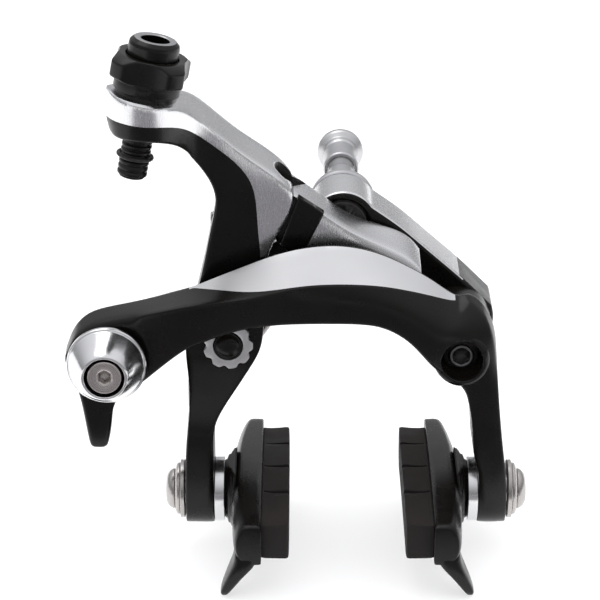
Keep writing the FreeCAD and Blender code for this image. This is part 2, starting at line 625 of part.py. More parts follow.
def shoe_parts(name, side):
    """Fixing bolt, washers, spacer, holder with its rim guide, rubber pad and pad screw."""
    face = name + "_leg_face"
    inward = LEFT if side > 0 else RIGHT
    outer = number(face) + side * number("leg_thickness")
    axis = ("leg_middle", "-bolt_drop")
    turned(name + "_flat_washer", ring_profile("shoe_bolt + 0.1", 6.1, 0.1, 1.1),
           outer, *axis, RIGHT if side > 0 else LEFT)
    turned(name + "_cup_washer", [(3.1, 1.15), (5.5, 1.15), (5.3, 1.9), (4.6, 2.15), (3.1, 2.15)],
           outer, *axis, RIGHT if side > 0 else LEFT)
    bolt_length = 17.2
    turned(name + "_shoe_bolt",
           [(0, 0), ("shoe_bolt", 0), ("shoe_bolt", bolt_length - 3.9), (4.1, bolt_length - 3.9),
            (4.1, bolt_length - 3.2), (3.2, bolt_length - 2.2), (1.7, bolt_length - 2.0),
            (1.7, bolt_length - 4.6), (0, bolt_length - 4.6)],
           outer + side * (3.9 + 2.2 - bolt_length), *axis, RIGHT if side > 0 else LEFT)
    spacer_width = number("spacer_width")
    turned(name + "_spacer", ring_profile("shoe_bolt + 0.1", "spacer_radius", 0.05, "spacer_width"),
           number(face), *axis, inward)
    cup = number("cup_width")
    holder_width = number("holder_width")
    pad_width = number("pad_width")
    shell = side_slab(name + "_shell", rim_arc_outline(number("holder_half_length"), number("holder_half_height")),
                      span(side, face, spacer_width + cup, holder_width), holder_width)
    boss = rod(name + "_boss", number(face) - side * (spacer_width + 0.1), *axis, inward, 9.0, cup + 1.0)
    trim = block(name + "_boss_trim", -60, 60, "-bolt_drop - 6.4", UP, (120, 54, 13.2))
    boss_trimmed = combine("Part::MultiCommon", name + "_boss_trimmed", boss, trim)
    near = number(face) - side * (spacer_width + cup + 1.2)
    fin = slab(name + "_fin", corners([
        (near - side * 4.5, -58.5), (near + side * 0.4, -57.5), (near + side * 1.6, -65.2),
        (near + side * 0.4, -66.0), (near - side * 1.2, -65.2)]), 50.5, 58.6)
    holder_solid = combine("Part::MultiFuse", name + "_holder_solid", shell, boss_trimmed, fin)
    recess_depth = 2.6
    recess = side_slab(name + "_recess", rim_arc_outline(
        number("pad_half_length") + 0.05, number("pad_half_height") + 0.05),
        span(side, face, spacer_width + cup + holder_width - recess_depth, recess_depth + 1), recess_depth + 1)
    thread = rod(name + "_thread", number(face) - side * spacer_width, *axis, inward, "shoe_bolt + 0.06", 5.4)
    screw_x = number(face) - side * (spacer_width + cup + 2.2)
    screw_bore = rod(name + "_screw_bore", screw_x, 17.0, -62.0, UP, 1.25, 7.5)
    node(cut(name + "_holder_cut", holder_solid, recess, thread, screw_bore), name + "_shoe_holder")
    turned(name + "_pad_screw", [(0, 0), (2.0, 0), (2.0, 1.2), (1.2, 1.2), (1.2, 5.4), (0, 5.4)],
           screw_x, 17.0, -60.8, UP)
    pad = side_slab(name + "_rubber", rim_arc_outline(number("pad_half_length"), number("pad_half_height")),
                    span(side, face, spacer_width + cup + holder_width - recess_depth, pad_width + recess_depth),
                    pad_width + recess_depth)
    face_x = number(face) - side * (spacer_width + cup + holder_width + pad_width)
    grooves = [block("%s_groove_%d" % (name, k), face_x - 2.2, 33.0 + 15.0 * (k - 1) + 0.6, -65, UP, (4.4, 1.2, 30))
               for k in range(3)]
    node(cut(name + "_pad_cut", pad, *grooves), name + "_brake_pad")


# ---------------------------------------------------------------- build, check, write


bracket_bridge()
mounting_parts()
pivot_parts()
spring_parts()
left_arm()
front_arm()
link_parts()
anchor_parts()
adjuster_parts()
shoe_parts("left", -1)
shoe_parts("right", 1)
doc.recompute()

for item in doc.Objects:
    if "Invalid" in item.State or "Error" in item.State:
        raise RuntimeError("%s (%s) failed: %s" % (item.Name, item.Label, item.State))
for item in nodes:
    if item.Shape.isNull() or not item.Shape.isValid():
        raise RuntimeError("%s has no valid shape" % item.Label)

os.makedirs("parts", exist_ok=True)
for item in nodes:
    item.Shape.exportStep("parts/%s.step" % item.Label)
    print("%-22s %8.1f mm3  %d solid(s)" % (item.Label, item.Shape.Volume, len(item.Shape.Solids)))
print(len(nodes), "nodes")
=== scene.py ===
"""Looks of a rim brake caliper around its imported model.

Frame: origin at the rear face of the fork washer, +X right, +Y towards the fork, +Z up.
Shapes are given in millimetres and scaled to metres when their mesh is made.
"""

import math

import bmesh
import bpy
from mathutils import Matrix, Vector


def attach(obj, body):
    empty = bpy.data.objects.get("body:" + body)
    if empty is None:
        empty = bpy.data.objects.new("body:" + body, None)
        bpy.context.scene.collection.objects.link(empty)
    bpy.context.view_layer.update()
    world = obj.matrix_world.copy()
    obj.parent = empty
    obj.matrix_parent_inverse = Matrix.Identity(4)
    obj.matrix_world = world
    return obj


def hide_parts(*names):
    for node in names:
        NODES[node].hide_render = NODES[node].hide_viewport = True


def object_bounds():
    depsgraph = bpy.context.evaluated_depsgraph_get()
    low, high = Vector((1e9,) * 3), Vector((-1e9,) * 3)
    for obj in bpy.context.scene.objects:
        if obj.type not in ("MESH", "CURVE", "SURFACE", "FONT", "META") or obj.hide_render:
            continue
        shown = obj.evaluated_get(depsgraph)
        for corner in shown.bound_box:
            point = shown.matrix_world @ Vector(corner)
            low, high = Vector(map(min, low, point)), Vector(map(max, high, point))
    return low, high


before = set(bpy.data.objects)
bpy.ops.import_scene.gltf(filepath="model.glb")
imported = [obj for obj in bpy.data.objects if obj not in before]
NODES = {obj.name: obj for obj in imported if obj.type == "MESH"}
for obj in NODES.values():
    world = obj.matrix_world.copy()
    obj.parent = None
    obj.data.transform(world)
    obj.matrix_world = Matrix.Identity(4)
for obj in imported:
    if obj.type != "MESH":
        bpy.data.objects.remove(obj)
CAD_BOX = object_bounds()
MM = 0.001
scene = bpy.context.scene


# Layout in millimetres
PIVOT_X, PIVOT_Z = 24, -21                  # the arms' pivots, left and right
ANCHOR_X, ANCHOR_FACE = -48.5, -42.0        # the cable anchor, as high as the pivots
SHOE_Y, SHOE_Z = -33, -53                   # the axis of the shoes' bolts
LEG_INSIDE = {"left": -27.0, "right": 28.1}
LEG_OUTSIDE = {"left": -33.1, "right": 34.2}
RIM_RADIUS = 311.0                          # of the circle that the shoes follow


# ---- materials


class Shader:
    """A node material built around one Principled shader."""

    def __init__(self, name, roughness, metallic=0.0, **sockets):
        self.material = bpy.data.materials.new(name)
        self.material.use_nodes = True
        self.tree = self.material.node_tree
        self.surface = self.tree.nodes["Principled BSDF"]
        self.surface.inputs["Roughness"].default_value = roughness
        self.surface.inputs["Metallic"].default_value = metallic
        for socket, value in sockets.items():
            self.surface.inputs[socket.replace("_", " ")].default_value = value
        self.place = self.add("ShaderNodeTexCoord").outputs["Object"]

    def add(self, kind, inputs=(), **settings):
        node = self.tree.nodes.new(kind)
        for key, value in settings.items():
            setattr(node, key, value)
        for socket, value in dict(inputs).items():
            if isinstance(value, bpy.types.NodeSocket):
                self.tree.links.new(value, node.inputs[socket])
            else:
                node.inputs[socket].default_value = value
        return node

    def noise(self, scale, detail=4.0, stretch=(1, 1, 1), turn=(0, 0, 0)):
        """Noise at a number of cells to the metre, drawn out along an axis by a stretch under 1."""
        mapping = self.add("ShaderNodeMapping", {"Vector": self.place, "Scale": stretch, "Rotation": turn})
        return self.add("ShaderNodeTexNoise", {"Vector": mapping.outputs[0], "Scale": scale,
                                               "Detail": detail}).outputs["Fac"]

    def spread(self, factor, low, high, start=0.35, end=0.65):
        """Carry a factor from one range to another."""
        return self.add("ShaderNodeMapRange", {"Value": factor, "From Min": start, "From Max": end,
                                               "To Min": low, "To Max": high}).outputs[0]

    def tint(self, factor, first, second):
        """Base colour that wanders between two colours."""
        mix = self.add("ShaderNodeMix", data_type="RGBA")
        self.tree.links.new(factor, mix.inputs["Factor"])
        mix.inputs["A"].default_value = (*first, 1)
        mix.inputs["B"].default_value = (*second, 1)
        self.tree.links.new(mix.outputs["Result"], self.surface.inputs["Base Color"])

    def rough(self, factor, low, high):
        self.tree.links.new(self.spread(factor, low, high), self.surface.inputs["Roughness"])

    def bump(self, height, depth, strength):
        """Surface relief: height times a depth in metres."""
        relief = self.add("ShaderNodeBump", {"Height": height, "Distance": depth, "Strength": strength})
        self.tree.links.new(relief.outputs[0], self.surface.inputs["Normal"])


def surface(name, metallic, cloud, tints, gloss, shine, grain=None, depth=0.000002, strength=0.5, **sockets):
    """A broad noise wanders between two tints, a gloss noise between two roughnesses; grain is relief."""
    made = Shader(name, shine[0], metallic, **sockets)
    made.tint(made.spread(made.noise(*cloud), 0, 1), *tints)
    made.rough(made.noise(*gloss), *shine)
    made.bump(made.noise(*(grain or gloss)), depth, strength)
    return made.material


def polished_alloy(name, roughness, shade=1.0):
    """Forged alloy, polished then anodised clear: pale metal with a soft fine grain."""
    tints = [[shade * channel for channel in tint] for tint in ((0.78, 0.78, 0.795), (0.82, 0.82, 0.83))]
    return surface(name, 1.0, (60, 3), tints, (7000, 4, (1, 1, 0.05), (0, 0.9, 0)),
                   (roughness, roughness + 0.06))


def turned_face(name, centre, axis):
    """Metal faced on a lathe: fine rings about an axis through a centre in millimetres."""
    made = Shader(name, 0.28, 1.0)
    offset = made.add("ShaderNodeVectorMath", {0: made.place, 1: Vector(centre) * MM}, operation="SUBTRACT")
    along = made.add("ShaderNodeVectorMath", {0: offset.outputs[0], 1: axis}, operation="PROJECT")
    across = made.add("ShaderNodeVectorMath", {0: offset.outputs[0], 1: along.outputs[0]},
                      operation="SUBTRACT")
    radius = made.add("ShaderNodeVectorMath", {0: across.outputs[0]}, operation="LENGTH").outputs["Value"]
    rings = made.add("ShaderNodeTexNoise", {"W": radius, "Scale": 9000.0, "Detail": 3.0},
                     noise_dimensions="1D").outputs["Fac"]
    tints = [[shade * channel for channel in (0.62, 0.58, 0.56)] for shade in (0.88, 1.12)]
    made.tint(made.spread(rings, 0, 1), *tints)
    made.rough(rings, 0.20, 0.38)
    made.bump(rings, 0.00003, 0.6)
    return made.material


ALLOY = polished_alloy("polished_alloy", 0.23)
CAP_ALLOY = polished_alloy("cap_alloy", 0.15)
RIM = polished_alloy("rim_alloy", 0.30, 0.62)
SPACER = polished_alloy("spacer_alloy", 0.18)
# Polished alloy darkened to a fifth: painted shade on the ring of the bolt head deep in the right pivot's dish
DISH_SHADE_ALLOY = polished_alloy("dish_shade_alloy", 0.3, 0.22)
# The slanted face of the front arm: satin metal, brushed along the arm
PANEL = surface("panel_alloy", 1.0, (45, 3), ((0.78, 0.78, 0.79), (0.83, 0.83, 0.835)),
                (8000, 4, (0.03, 1, 1), (0, 0.05, 0)), (0.42, 0.50))
# Black anodised forging with a soft gloss and a faint orange peel
BLACK = surface("black_alloy", 0.0, (70, 4), ((0.003, 0.0025, 0.0021), (0.0045, 0.0038, 0.0032)),
                (160, 5), (0.24, 0.32), (2400, 2), Specular_IOR_Level=0.30)
# Titanium-grey fixing hardware, turned and lightly blasted
STEEL = surface("hardware_steel", 1.0, (220, 3), ((0.46, 0.44, 0.425), (0.54, 0.515, 0.50)),
                (6000, 4), (0.24, 0.33))
# Silver plated bolt, sleeve nut and washer at the rear
BRIGHT = surface("bright_steel", 1.0, (150, 3), ((0.59, 0.59, 0.605), (0.66, 0.66, 0.665)),
                 (6000, 4, (1, 0.2, 1)), (0.30, 0.40))
# Blasted and anodised lock ring, a pale even grey
SATIN = surface("satin_alloy", 1.0, (300, 3), ((0.68, 0.68, 0.685), (0.78, 0.78, 0.78)),
                (5200, 2), (0.36, 0.48), depth=0.000016, strength=0.6)
# Black oxide on screws, washer and wire ring
BLACK_STEEL = surface("black_steel", 0.3, (900, 5), ((0.014, 0.013, 0.013), (0.032, 0.030, 0.029)),
                      (900, 5), (0.28, 0.46), depth=0.00002, strength=0.4)
# Moulded black plastic with a fine spark-eroded texture
PLASTIC = surface("moulded_plastic", 0.0, (140, 3), ((0.020, 0.018, 0.017), (0.034, 0.030, 0.028)),
                  (3400, 3), (0.40, 0.55), depth=0.00003)
# Brake compound: warm dark grey, dry, with faint moulding marks and rubbed patches
RUBBER = surface("brake_rubber", 0.0, (110, 5), ((0.009, 0.0075, 0.007), (0.017, 0.014, 0.013)),
                 (110, 5), (0.62, 0.84), (4200, 3), 0.00004, 0.6, Specular_IOR_Level=0.32)
BRONZE = surface("bush_bronze", 1.0, (3800, 3), ((0.42, 0.28, 0.13), (0.58, 0.41, 0.22)),
                 (3800, 3), (0.34, 0.52), depth=0.00002, strength=0.6)


# ---- mesh helpers


def piece(name, verts, faces, materials, slots=None, smooth=True):
    """A mesh object from points in millimetres."""
    mesh = bpy.data.meshes.new(name)
    mesh.from_pydata([Vector(v) * MM for v in verts], [], faces)
    for material in materials:
        mesh.materials.append(material)
    if slots:
        mesh.polygons.foreach_set("material_index", slots)
    mesh.polygons.foreach_set("use_smooth", [smooth] * len(mesh.polygons))
    mesh.update()
    made = bpy.data.objects.new(name, mesh)
    scene.collection.objects.link(made)
    return made


def outward(obj, merge=0.0):
    """Turn every face outwards, after merging points closer than a distance in metres."""
    bm = bmesh.new()
    bm.from_mesh(obj.data)
    if merge:
        bmesh.ops.remove_doubles(bm, verts=bm.verts, dist=merge)
    bmesh.ops.recalc_face_normals(bm, faces=bm.faces)
    bm.to_mesh(obj.data)
    bm.free()


def crease(obj, marks):
    """Crease the edges between given pairs of points: {(a, b): sharpness}."""
    layer = obj.data.attributes.new("crease_edge", "FLOAT", "EDGE")
    for edge in obj.data.edges:
        key = tuple(sorted(edge.vertices))
        if key in marks:
            layer.data[edge.index].value = marks[key]


def modify(obj, kind, **settings):
    modifier = obj.modifiers.new(kind.lower(), kind)
    for key, value in settings.items():
        setattr(modifier, key, value)


def apply_all(obj):
    """Replace the mesh by the result of its modifiers."""
    graph = bpy.context.evaluated_depsgraph_get()
    graph.update()
    mesh = bpy.data.meshes.new_from_object(obj.evaluated_get(graph))
    obj.modifiers.clear()
    obj.data = mesh
    return obj


def soften(obj, width):
    """Small rounded edges wherever two faces meet at a sharp angle."""
    modify(obj, "BEVEL", width=width * MM, segments=2, limit_method="ANGLE", angle_limit=math.radians(35),
           use_clamp_overlap=True, harden_normals=False)
    return weight_normals(obj)


def ribbon(name, stations, materials, paint, sharp, levels, width):
    """A closed skin through rings of points.

    Each station is a ring of points in order round the section. paint(i, j) gives the material of
    the face between stations i, i+1 and rails j, j+1; sharp(i, j) the crease of the edge of rail j
    from station i to i+1, and with i = -1 that of the end rings.
    """
    count = len(stations[0])
    last = (len(stations) - 1) * count
    verts = [point for ring in stations for point in ring]
    faces = []
    slots = []
    marks = {}
    for i in range(len(stations) - 1):
        for j in range(count):
            a = i * count + j
            b = i * count + (j + 1) % count
            faces.append((a, b, b + count, a + count))
            slots.append(paint(i, j))
            marks[(a, a + count)] = sharp(i, j)
    faces.append(tuple(reversed(range(count))))
    faces.append(tuple(range(last, last + count)))
    slots += [paint(0, -1), paint(len(stations) - 2, -1)]
    for start in (0, last):
        for j in range(count):
            pair = sorted((start + j, start + (j + 1) % count))
            marks[tuple(pair)] = sharp(-1, j)
    made = piece(name, verts, faces, materials, slots)
    crease(made, marks)
    outward(made)
    modify(made, "SUBSURF", levels=levels, render_levels=levels)
    apply_all(made)
    return soften(made, width)


def lathe(name, profile, centre, turn, materials, paint=None, steps=96):
    """A skin of rings about an axis, which turn carries from +Z.

    A row of the profile is (radius, height), or a function of the angle that gives them.
    """
    verts = []
    faces = []
    slots = []
    rings = []
    for row in profile:
        if not callable(row) and row[0] < 1e-6:
            rings.append([len(verts)])
            verts.append(Vector((0, 0, row[1])))
            continue
        rings.append(list(range(len(verts), len(verts) + steps)))
        for k in range(steps):
            angle = 2 * math.pi * k / steps
            radius, height = row(angle) if callable(row) else row
            verts.append(Vector((radius * math.cos(angle), radius * math.sin(angle), height)))
    for i in range(len(rings)):
        low, high = rings[i], rings[(i + 1) % len(rings)]
        if len(low) == 1 and len(high) == 1:
            continue
        for k in range(steps):
            corners = []
            for corner in (low[k % len(low)], low[(k + 1) % len(low)],
                           high[(k + 1) % len(high)], high[k % len(high)]):
                if corner not in corners:
                    corners.append(corner)
            faces.append(tuple(corners))
            slots.append(paint(i) if paint else 0)
    made = piece(name, [Vector(centre) + turn @ v for v in verts], faces, materials, slots)
    outward(made)
    return weight_normals(made)


def weight_normals(obj):
    modify(obj, "WEIGHTED_NORMAL", keep_sharp=False, weight=60)
    return apply_all(obj)


def carve(obj, cutter):
    """Cut one closed mesh out of another."""
    modify(obj, "BOOLEAN", operation="DIFFERENCE", object=cutter, solver="EXACT")
    apply_all(obj)
    bpy.data.objects.remove(cutter)
    return obj


def repaint(obj, choose):
    """Give each face the material slot chosen from its middle in millimetres and its normal."""
    for polygon in obj.data.polygons:
        polygon.material_index = choose(polygon.center / MM, polygon.normal)


def arc_points(start, middle, end, steps):
    """Points on the arc through three flat points."""
    a, b, c = (complex(*point) for point in (start, middle, end))
    w = (c - a) / (b - a)
    centre = a - (a - b) * (w - abs(w) ** 2) / (2j * w.imag)
    radius = abs(a - centre)
    first = math.atan2((a - centre).imag, (a - centre).real)
    sweep = (math.atan2((c - centre).imag, (c - centre).real) - first) % (2 * math.pi)
    half = (math.atan2((b - centre).imag, (b - centre).real) - first) % (2 * math.pi)
    if half > sweep:
        sweep -= 2 * math.pi
    return [(centre.real + radius * math.cos(first + sweep * k / steps),
             centre.imag + radius * math.sin(first + sweep * k / steps)) for k in range(steps + 1)]


def extruded(name, outlines, thick, bevel, place, materials):
    """Filled outlines with holes, thickened with rounded edges; place carries its +Z to the world."""
    data = bpy.data.curves.new(name, "CURVE")
    data.dimensions = "2D"
    data.fill_mode = "BOTH"
    for outline in outlines:
        loop = data.splines.new("POLY")
        loop.points.add(len(outline) - 1)
        for point, (x, y) in zip(loop.points, outline):
            point.co = (x, y, 0, 1)
        loop.use_cyclic_u = True
    data.extrude = max(thick / 2 - bevel, 0.0001)
    data.bevel_depth = bevel
    data.bevel_resolution = 3
    data.offset = -bevel
    holder = bpy.data.objects.new(name + "_curve", data)
    scene.collection.objects.link(holder)
    graph = bpy.context.evaluated_depsgraph_get()
    graph.update()
    mesh = bpy.data.meshes.new_from_object(holder.evaluated_get(graph))
    bpy.data.objects.remove(holder)
    mesh.transform(Matrix.Scale(MM, 4) @ place)
    for material in materials:
        mesh.materials.append(material)
    mesh.polygons.foreach_set("use_smooth", [True] * len(mesh.polygons))
    made = bpy.data.objects.new(name, mesh)
    scene.collection.objects.link(made)
    outward(made, merge=1e-7)
    return weight_normals(made)


def join(name, parts):
    """One object from several meshes."""
    bm = bmesh.new()
    materials = []
    for part in parts:
        mesh = part.data.copy()
        mesh.transform(part.matrix_world)
        shift = []
        for material in part.data.materials:
            if material not in materials:
                materials.append(material)
            shift.append(materials.index(material))
        for polygon in mesh.polygons:
            polygon.material_index = shift[polygon.material_index] if shift else 0
        bm.from_mesh(mesh)
        bpy.data.meshes.remove(mesh)
    mesh = bpy.data.meshes.new(name)
    bm.to_mesh(mesh)
    bm.free()
    for material in materials:
        mesh.materials.append(material)
    mesh.polygons.foreach_set("use_smooth", [True] * len(mesh.polygons))
    for part in parts:
        bpy.data.objects.remove(part)
    made = bpy.data.objects.new(name, mesh)
    scene.collection.objects.link(made)
    return weight_normals(made)


def spline(points, steps, closed=False):
    """Points on a smooth curve through given points."""
    result = []
    count = len(points)
    last = count if closed else count - 1
    for i in range(last):
        p = [Vector(points[(i + k) % count] if closed else points[min(max(i + k, 0), count - 1)])
             for k in (-1, 0, 1, 2)]
        for step in range(steps):
            t = step / steps
            result.append(0.5 * ((2 * p[1]) + (p[2] - p[0]) * t
                                 + (2 * p[0] - 5 * p[1] + 4 * p[2] - p[3]) * t ** 2
                                 + (3 * p[1] - p[0] - 3 * p[2] + p[3]) * t ** 3))
    if not closed:
        result.append(Vector(points[-1]))
    return result


def flat_spline(points, steps, closed=False):
    """The same for points in a plane."""
    return [tuple(point[:2]) for point in spline([(*point, 0) for point in points], steps, closed)]


def circle(x, y, radius, steps=48):
    return [(x + radius * math.cos(2 * math.pi * k / steps), y + radius * math.sin(2 * math.pi * k / steps))
            for k in range(steps)]


def filleted(corners, radius=0.2, steps=4, closed=True):
    """Round the corners of a flat polyline; a corner may carry a radius of its own."""
    result = []
    count = len(corners)
    for i, corner in enumerate(corners):
        here = Vector(corner[:2])
        want = corner[2] if len(corner) > 2 else radius
        back = Vector(corners[i - 1][:2]) - here
        ahead = Vector(corners[(i + 1) % count][:2]) - here
        if want == 0 or here.x < 1e-6 or (not closed and i in (0, count - 1)):
            result.append(tuple(here))
            continue
        reach = min(want / math.tan(back.angle(ahead) / 2), 0.45 * back.length, 0.45 * ahead.length)
        start = here + back.normalized() * reach
        end = here + ahead.normalized() * reach
        for step in range(steps + 1):
            t = step / steps
            result.append(tuple(start.lerp(here, t).lerp(here.lerp(end, t), t)))
    return result


def hexagon(across, height):
    """A row of a hexagon socket, by its width across flats."""
    sector = math.pi / 3

    def row(angle):
        return (across / 2 / math.cos((angle + sector / 2) % sector - sector / 2), height)
    return row


def lobed_radius(angle, lobes, low, high, hollow, phase=0.0):
    """Radius of an outline of lands joined by hollow arcs."""
    pitch = 2 * math.pi / lobes
    away = abs((angle - phase + pitch / 2) % pitch - pitch / 2)
    land = pitch * (1 - hollow) / 2
    if away <= land:
        return high
    reach = (high ** 2 - low ** 2) / (2 * (high * math.cos(pitch / 2 - land) - low))
    turn = pitch / 2 - away
    return reach * math.cos(turn) - math.sqrt((reach - low) ** 2 - (reach * math.sin(turn)) ** 2)


def eased(outline, angle, spread):
    """An outline's radius averaged over a small angle, which rounds its corners."""
    return sum(outline(angle + spread * k / 3) for k in range(-3, 4)) / 7


FRONT = Matrix.Rotation(math.radians(90), 3, "X")
REAR = Matrix.Rotation(math.radians(-90), 3, "X")
RIGHT = Matrix.Rotation(math.radians(90), 3, "Y")
LEFT = Matrix.Rotation(math.radians(-90), 3, "Y")
SIDE = {"left": -1, "right": 1}
INWARD = {"left": RIGHT, "right": LEFT}
OUTWARD = {"left": LEFT, "right": RIGHT}


def plain(i, j):
    """The first material on every face."""
    return 0


def finish_piece(made, body, slot, node):
    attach(made, body)
    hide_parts(node)


# ---- front arm


def front_arm():
    """Ring of a station: top back, top rear edge, panel edge, ridge, front swell, low front, low back."""
    # (rear top x, z, y), (ridge x, z, y), share of panel, (low x, z), front y, rear y
    rows = [
        ((-57.2, -20.2, -34.0), (-57.2, -20.6, -38.2), 0.4, (-57.2, -22.0), -38.6, -33.6),
        ((-55.7, -15.9, -33.6), (-55.4, -16.6, -39.0), 0.4, (-55.9, -25.9), -39.4, -33.2),
        ((-52.6, -12.9, -33.2), (-52.2, -13.9, -39.2), 0.4, (-52.9, -28.7), -39.4, -33.0),
        ((-48.0, -11.7, -33.2), (-47.6, -12.6, -39.6), 0.4, (-48.6, -29.9), -39.4, -33.0),
        ((-43.4, -10.8, -33.2), (-42.6, -11.2, -40.6), 0.4, (-43.6, -28.4), -39.8, -32.4),
        ((-39.0, -9.8, -33.2), (-38.0, -9.9, -41.8), 0.3, (-39.8, -24.7), -41.2, -31.6),
        ((-35.2, -8.7, -33.2), (-34.0, -8.8, -42.2), 0.2, (-36.4, -21.4), -42.0, -31.5),
        ((-31.4, -7.3, -34.0), (-29.4, -8.0, -42.3), 0.005, (-32.8, -18.5), -42.2, -31.5),
        ((-30.3, -6.7, -34.6), (-28.2, -7.9, -42.3), 0.14, (-31.6, -17.9), -42.2, -31.5),
        ((-26.4, -4.5, -35.8), (-24.2, -7.4, -42.3), 0.52, (-27.4, -16.1), -42.2, -31.5),
        ((-21.2, -2.2, -36.2), (-18.6, -6.8, -42.3), 0.82, (-21.6, -13.9), -42.2, -31.5),
        ((-14.5, 0.5, -35.8), (-12.9, -5.2, -42.2), 0.96, (-14.6, -12.9), -42.2, -31.5),
        ((-7.6, 1.9, -34.8), (-6.8, -4.4, -41.6), 0.97, (-7.4, -12.7), -42.2, -31.5),
        ((0.0, 1.9, -33.8), (0.3, -4.4, -41.2), 0.97, (0.0, -12.7), -42.2, -31.5),
        ((7.0, 0.0, -33.2), (7.0, -4.8, -40.8), 0.97, (6.2, -12.9), -42.2, -31.5),
        ((13.0, -3.0, -33.2), (12.9, -6.2, -39.6), 0.97, (10.4, -14.7), -42.2, -31.5),
        ((18.4, -6.2, -33.2), (18.4, -8.2, -37.6), 0.96, (13.8, -17.3), -42.2, -31.5),
        ((23.2, -10.2, -33.2), (23.2, -10.7, -34.2), 0.9, (16.6, -20.9), -42.2, -31.5),
        ((25.0, -8.6, -33.0), (25.2, -9.6, -35.8), 0.5, (18.6, -23.4), -41.2, -31.5),
        ((28.4, -10.6, -33.0), (28.2, -11.6, -37.4), 0.5, (21.2, -25.2), -40.6, -31.5),
        ((31.0, -15.4, -33.0), (30.6, -16.0, -38.6), 0.5, (23.6, -26.6), -40.4, -31.3),
        ((31.7, -22.0, -32.6), (31.3, -22.2, -39.0), 0.5, (25.3, -29.2), -40.2, -30.2),
        ((32.1, -29.0, -29.6), (31.8, -29.2, -39.4), 0.5, (26.1, -33.2), -40.2, -27.4),
        ((32.7, -36.0, -26.4), (32.4, -36.0, -39.6), 0.5, (26.6, -37.6), -40.2, -26.0),
        ((33.5, -43.0, -26.0), (33.2, -43.0, -39.6), 0.5, (26.8, -43.2), -40.2, -25.9),
        ((33.8, -45.4, -26.0), (33.6, -45.4, -39.6), 0.5, (28.05, -45.4), -40.2, -25.9),
        ((34.15, -52.0, -26.0), (34.0, -52.0, -39.6), 0.5, (28.1, -52.0), -40.2, -25.9),
        ((34.15, -56.4, -26.8), (34.0, -56.4, -38.8), 0.5, (28.1, -56.4), -39.3, -26.7),
        ((34.15, -59.2, -29.6), (34.0, -59.2, -36.2), 0.5, (28.1, -59.2), -36.6, -29.4),
        ((34.0, -60.1, -32.0), (34.0, -60.1, -34.0), 0.5, (28.2, -60.1), -34.2, -31.8)]
    level_top = -33.2
    stations = []
    for (x, z, y), (ridge_x, ridge_z, ridge_y), share, (low_x, low_z), front, rear in rows:
        top = Vector((x, y, z))
        ridge = Vector((ridge_x, ridge_y, ridge_z))
        low = Vector((low_x, front + 0.3, low_z))
        swell = ridge.lerp(low, 0.36)
        swell.y = min(front, ridge.y) - 0.15
        under = ridge.lerp(low, 0.86)
        under.y = front - 0.05
        back = Vector((x, max(rear, y + 1.2), z - 0.5 + 0.45 * min(0, y - level_top)))
        stations.append([back, top, top.lerp(ridge, share), ridge, swell, under, low,
                         Vector((low_x, rear, low_z + 0.2))])
    panel = range(7, 17)

    def paint(i, j):
        return 1 if j == 1 and i in panel else 0

    def sharp(i, j):
        if i < 0:
            return 1.0
        if j == 0:
            return 0.9
        if j in (1, 2):
            return (0.8 if j == 2 else 0.7) if i in panel else 0.4
        if j == 3:
            return 0.55 if 4 <= i < 17 else (0.25 if i < 21 else 0.6)
        if j == 6:
            return 0.3 if i < 21 else 0.6
        if j == 7:
            return 0.8
        return 0.0
    arm = ribbon("front_arm_skin", stations, [BLACK, PANEL], paint, sharp, 3, 0.25)
    foot = (PIVOT_X, -36.2, PIVOT_Z)
    carve(arm, lathe("pivot_hollow", [(0, -0.6), (4.3, -0.6), (4.3, 9), (0, 9)], foot, FRONT, [BLACK]))

    def skirt(radius, height):
        return lambda angle: (radius + 0.55 * (1 + math.cos(angle + 1.0)), height)

    def lip(radius, height):
        return lambda angle: (radius, height - 0.75 * (1 + math.cos(angle - 2.1)))
    pocket = lathe("pivot_pocket", [
        skirt(5.5, 1.2), lip(5.9, 3.4), lip(5.6, 4.3), lip(5.2, 4.8), lip(4.75, 5.05), lip(4.5, 5.1),
        lip(4.33, 5.0), lip(4.2, 4.7), (4.05, 2.6), (3.95, 1.4), (3.85, 0.2), (3.78, -0.4), (4.6, -0.5)],
        foot, FRONT, [BLACK])
    finish_piece(join("front_arm_body", [arm, pocket]), "front_arm", "black_alloy", "front_arm")


# ---- left arm


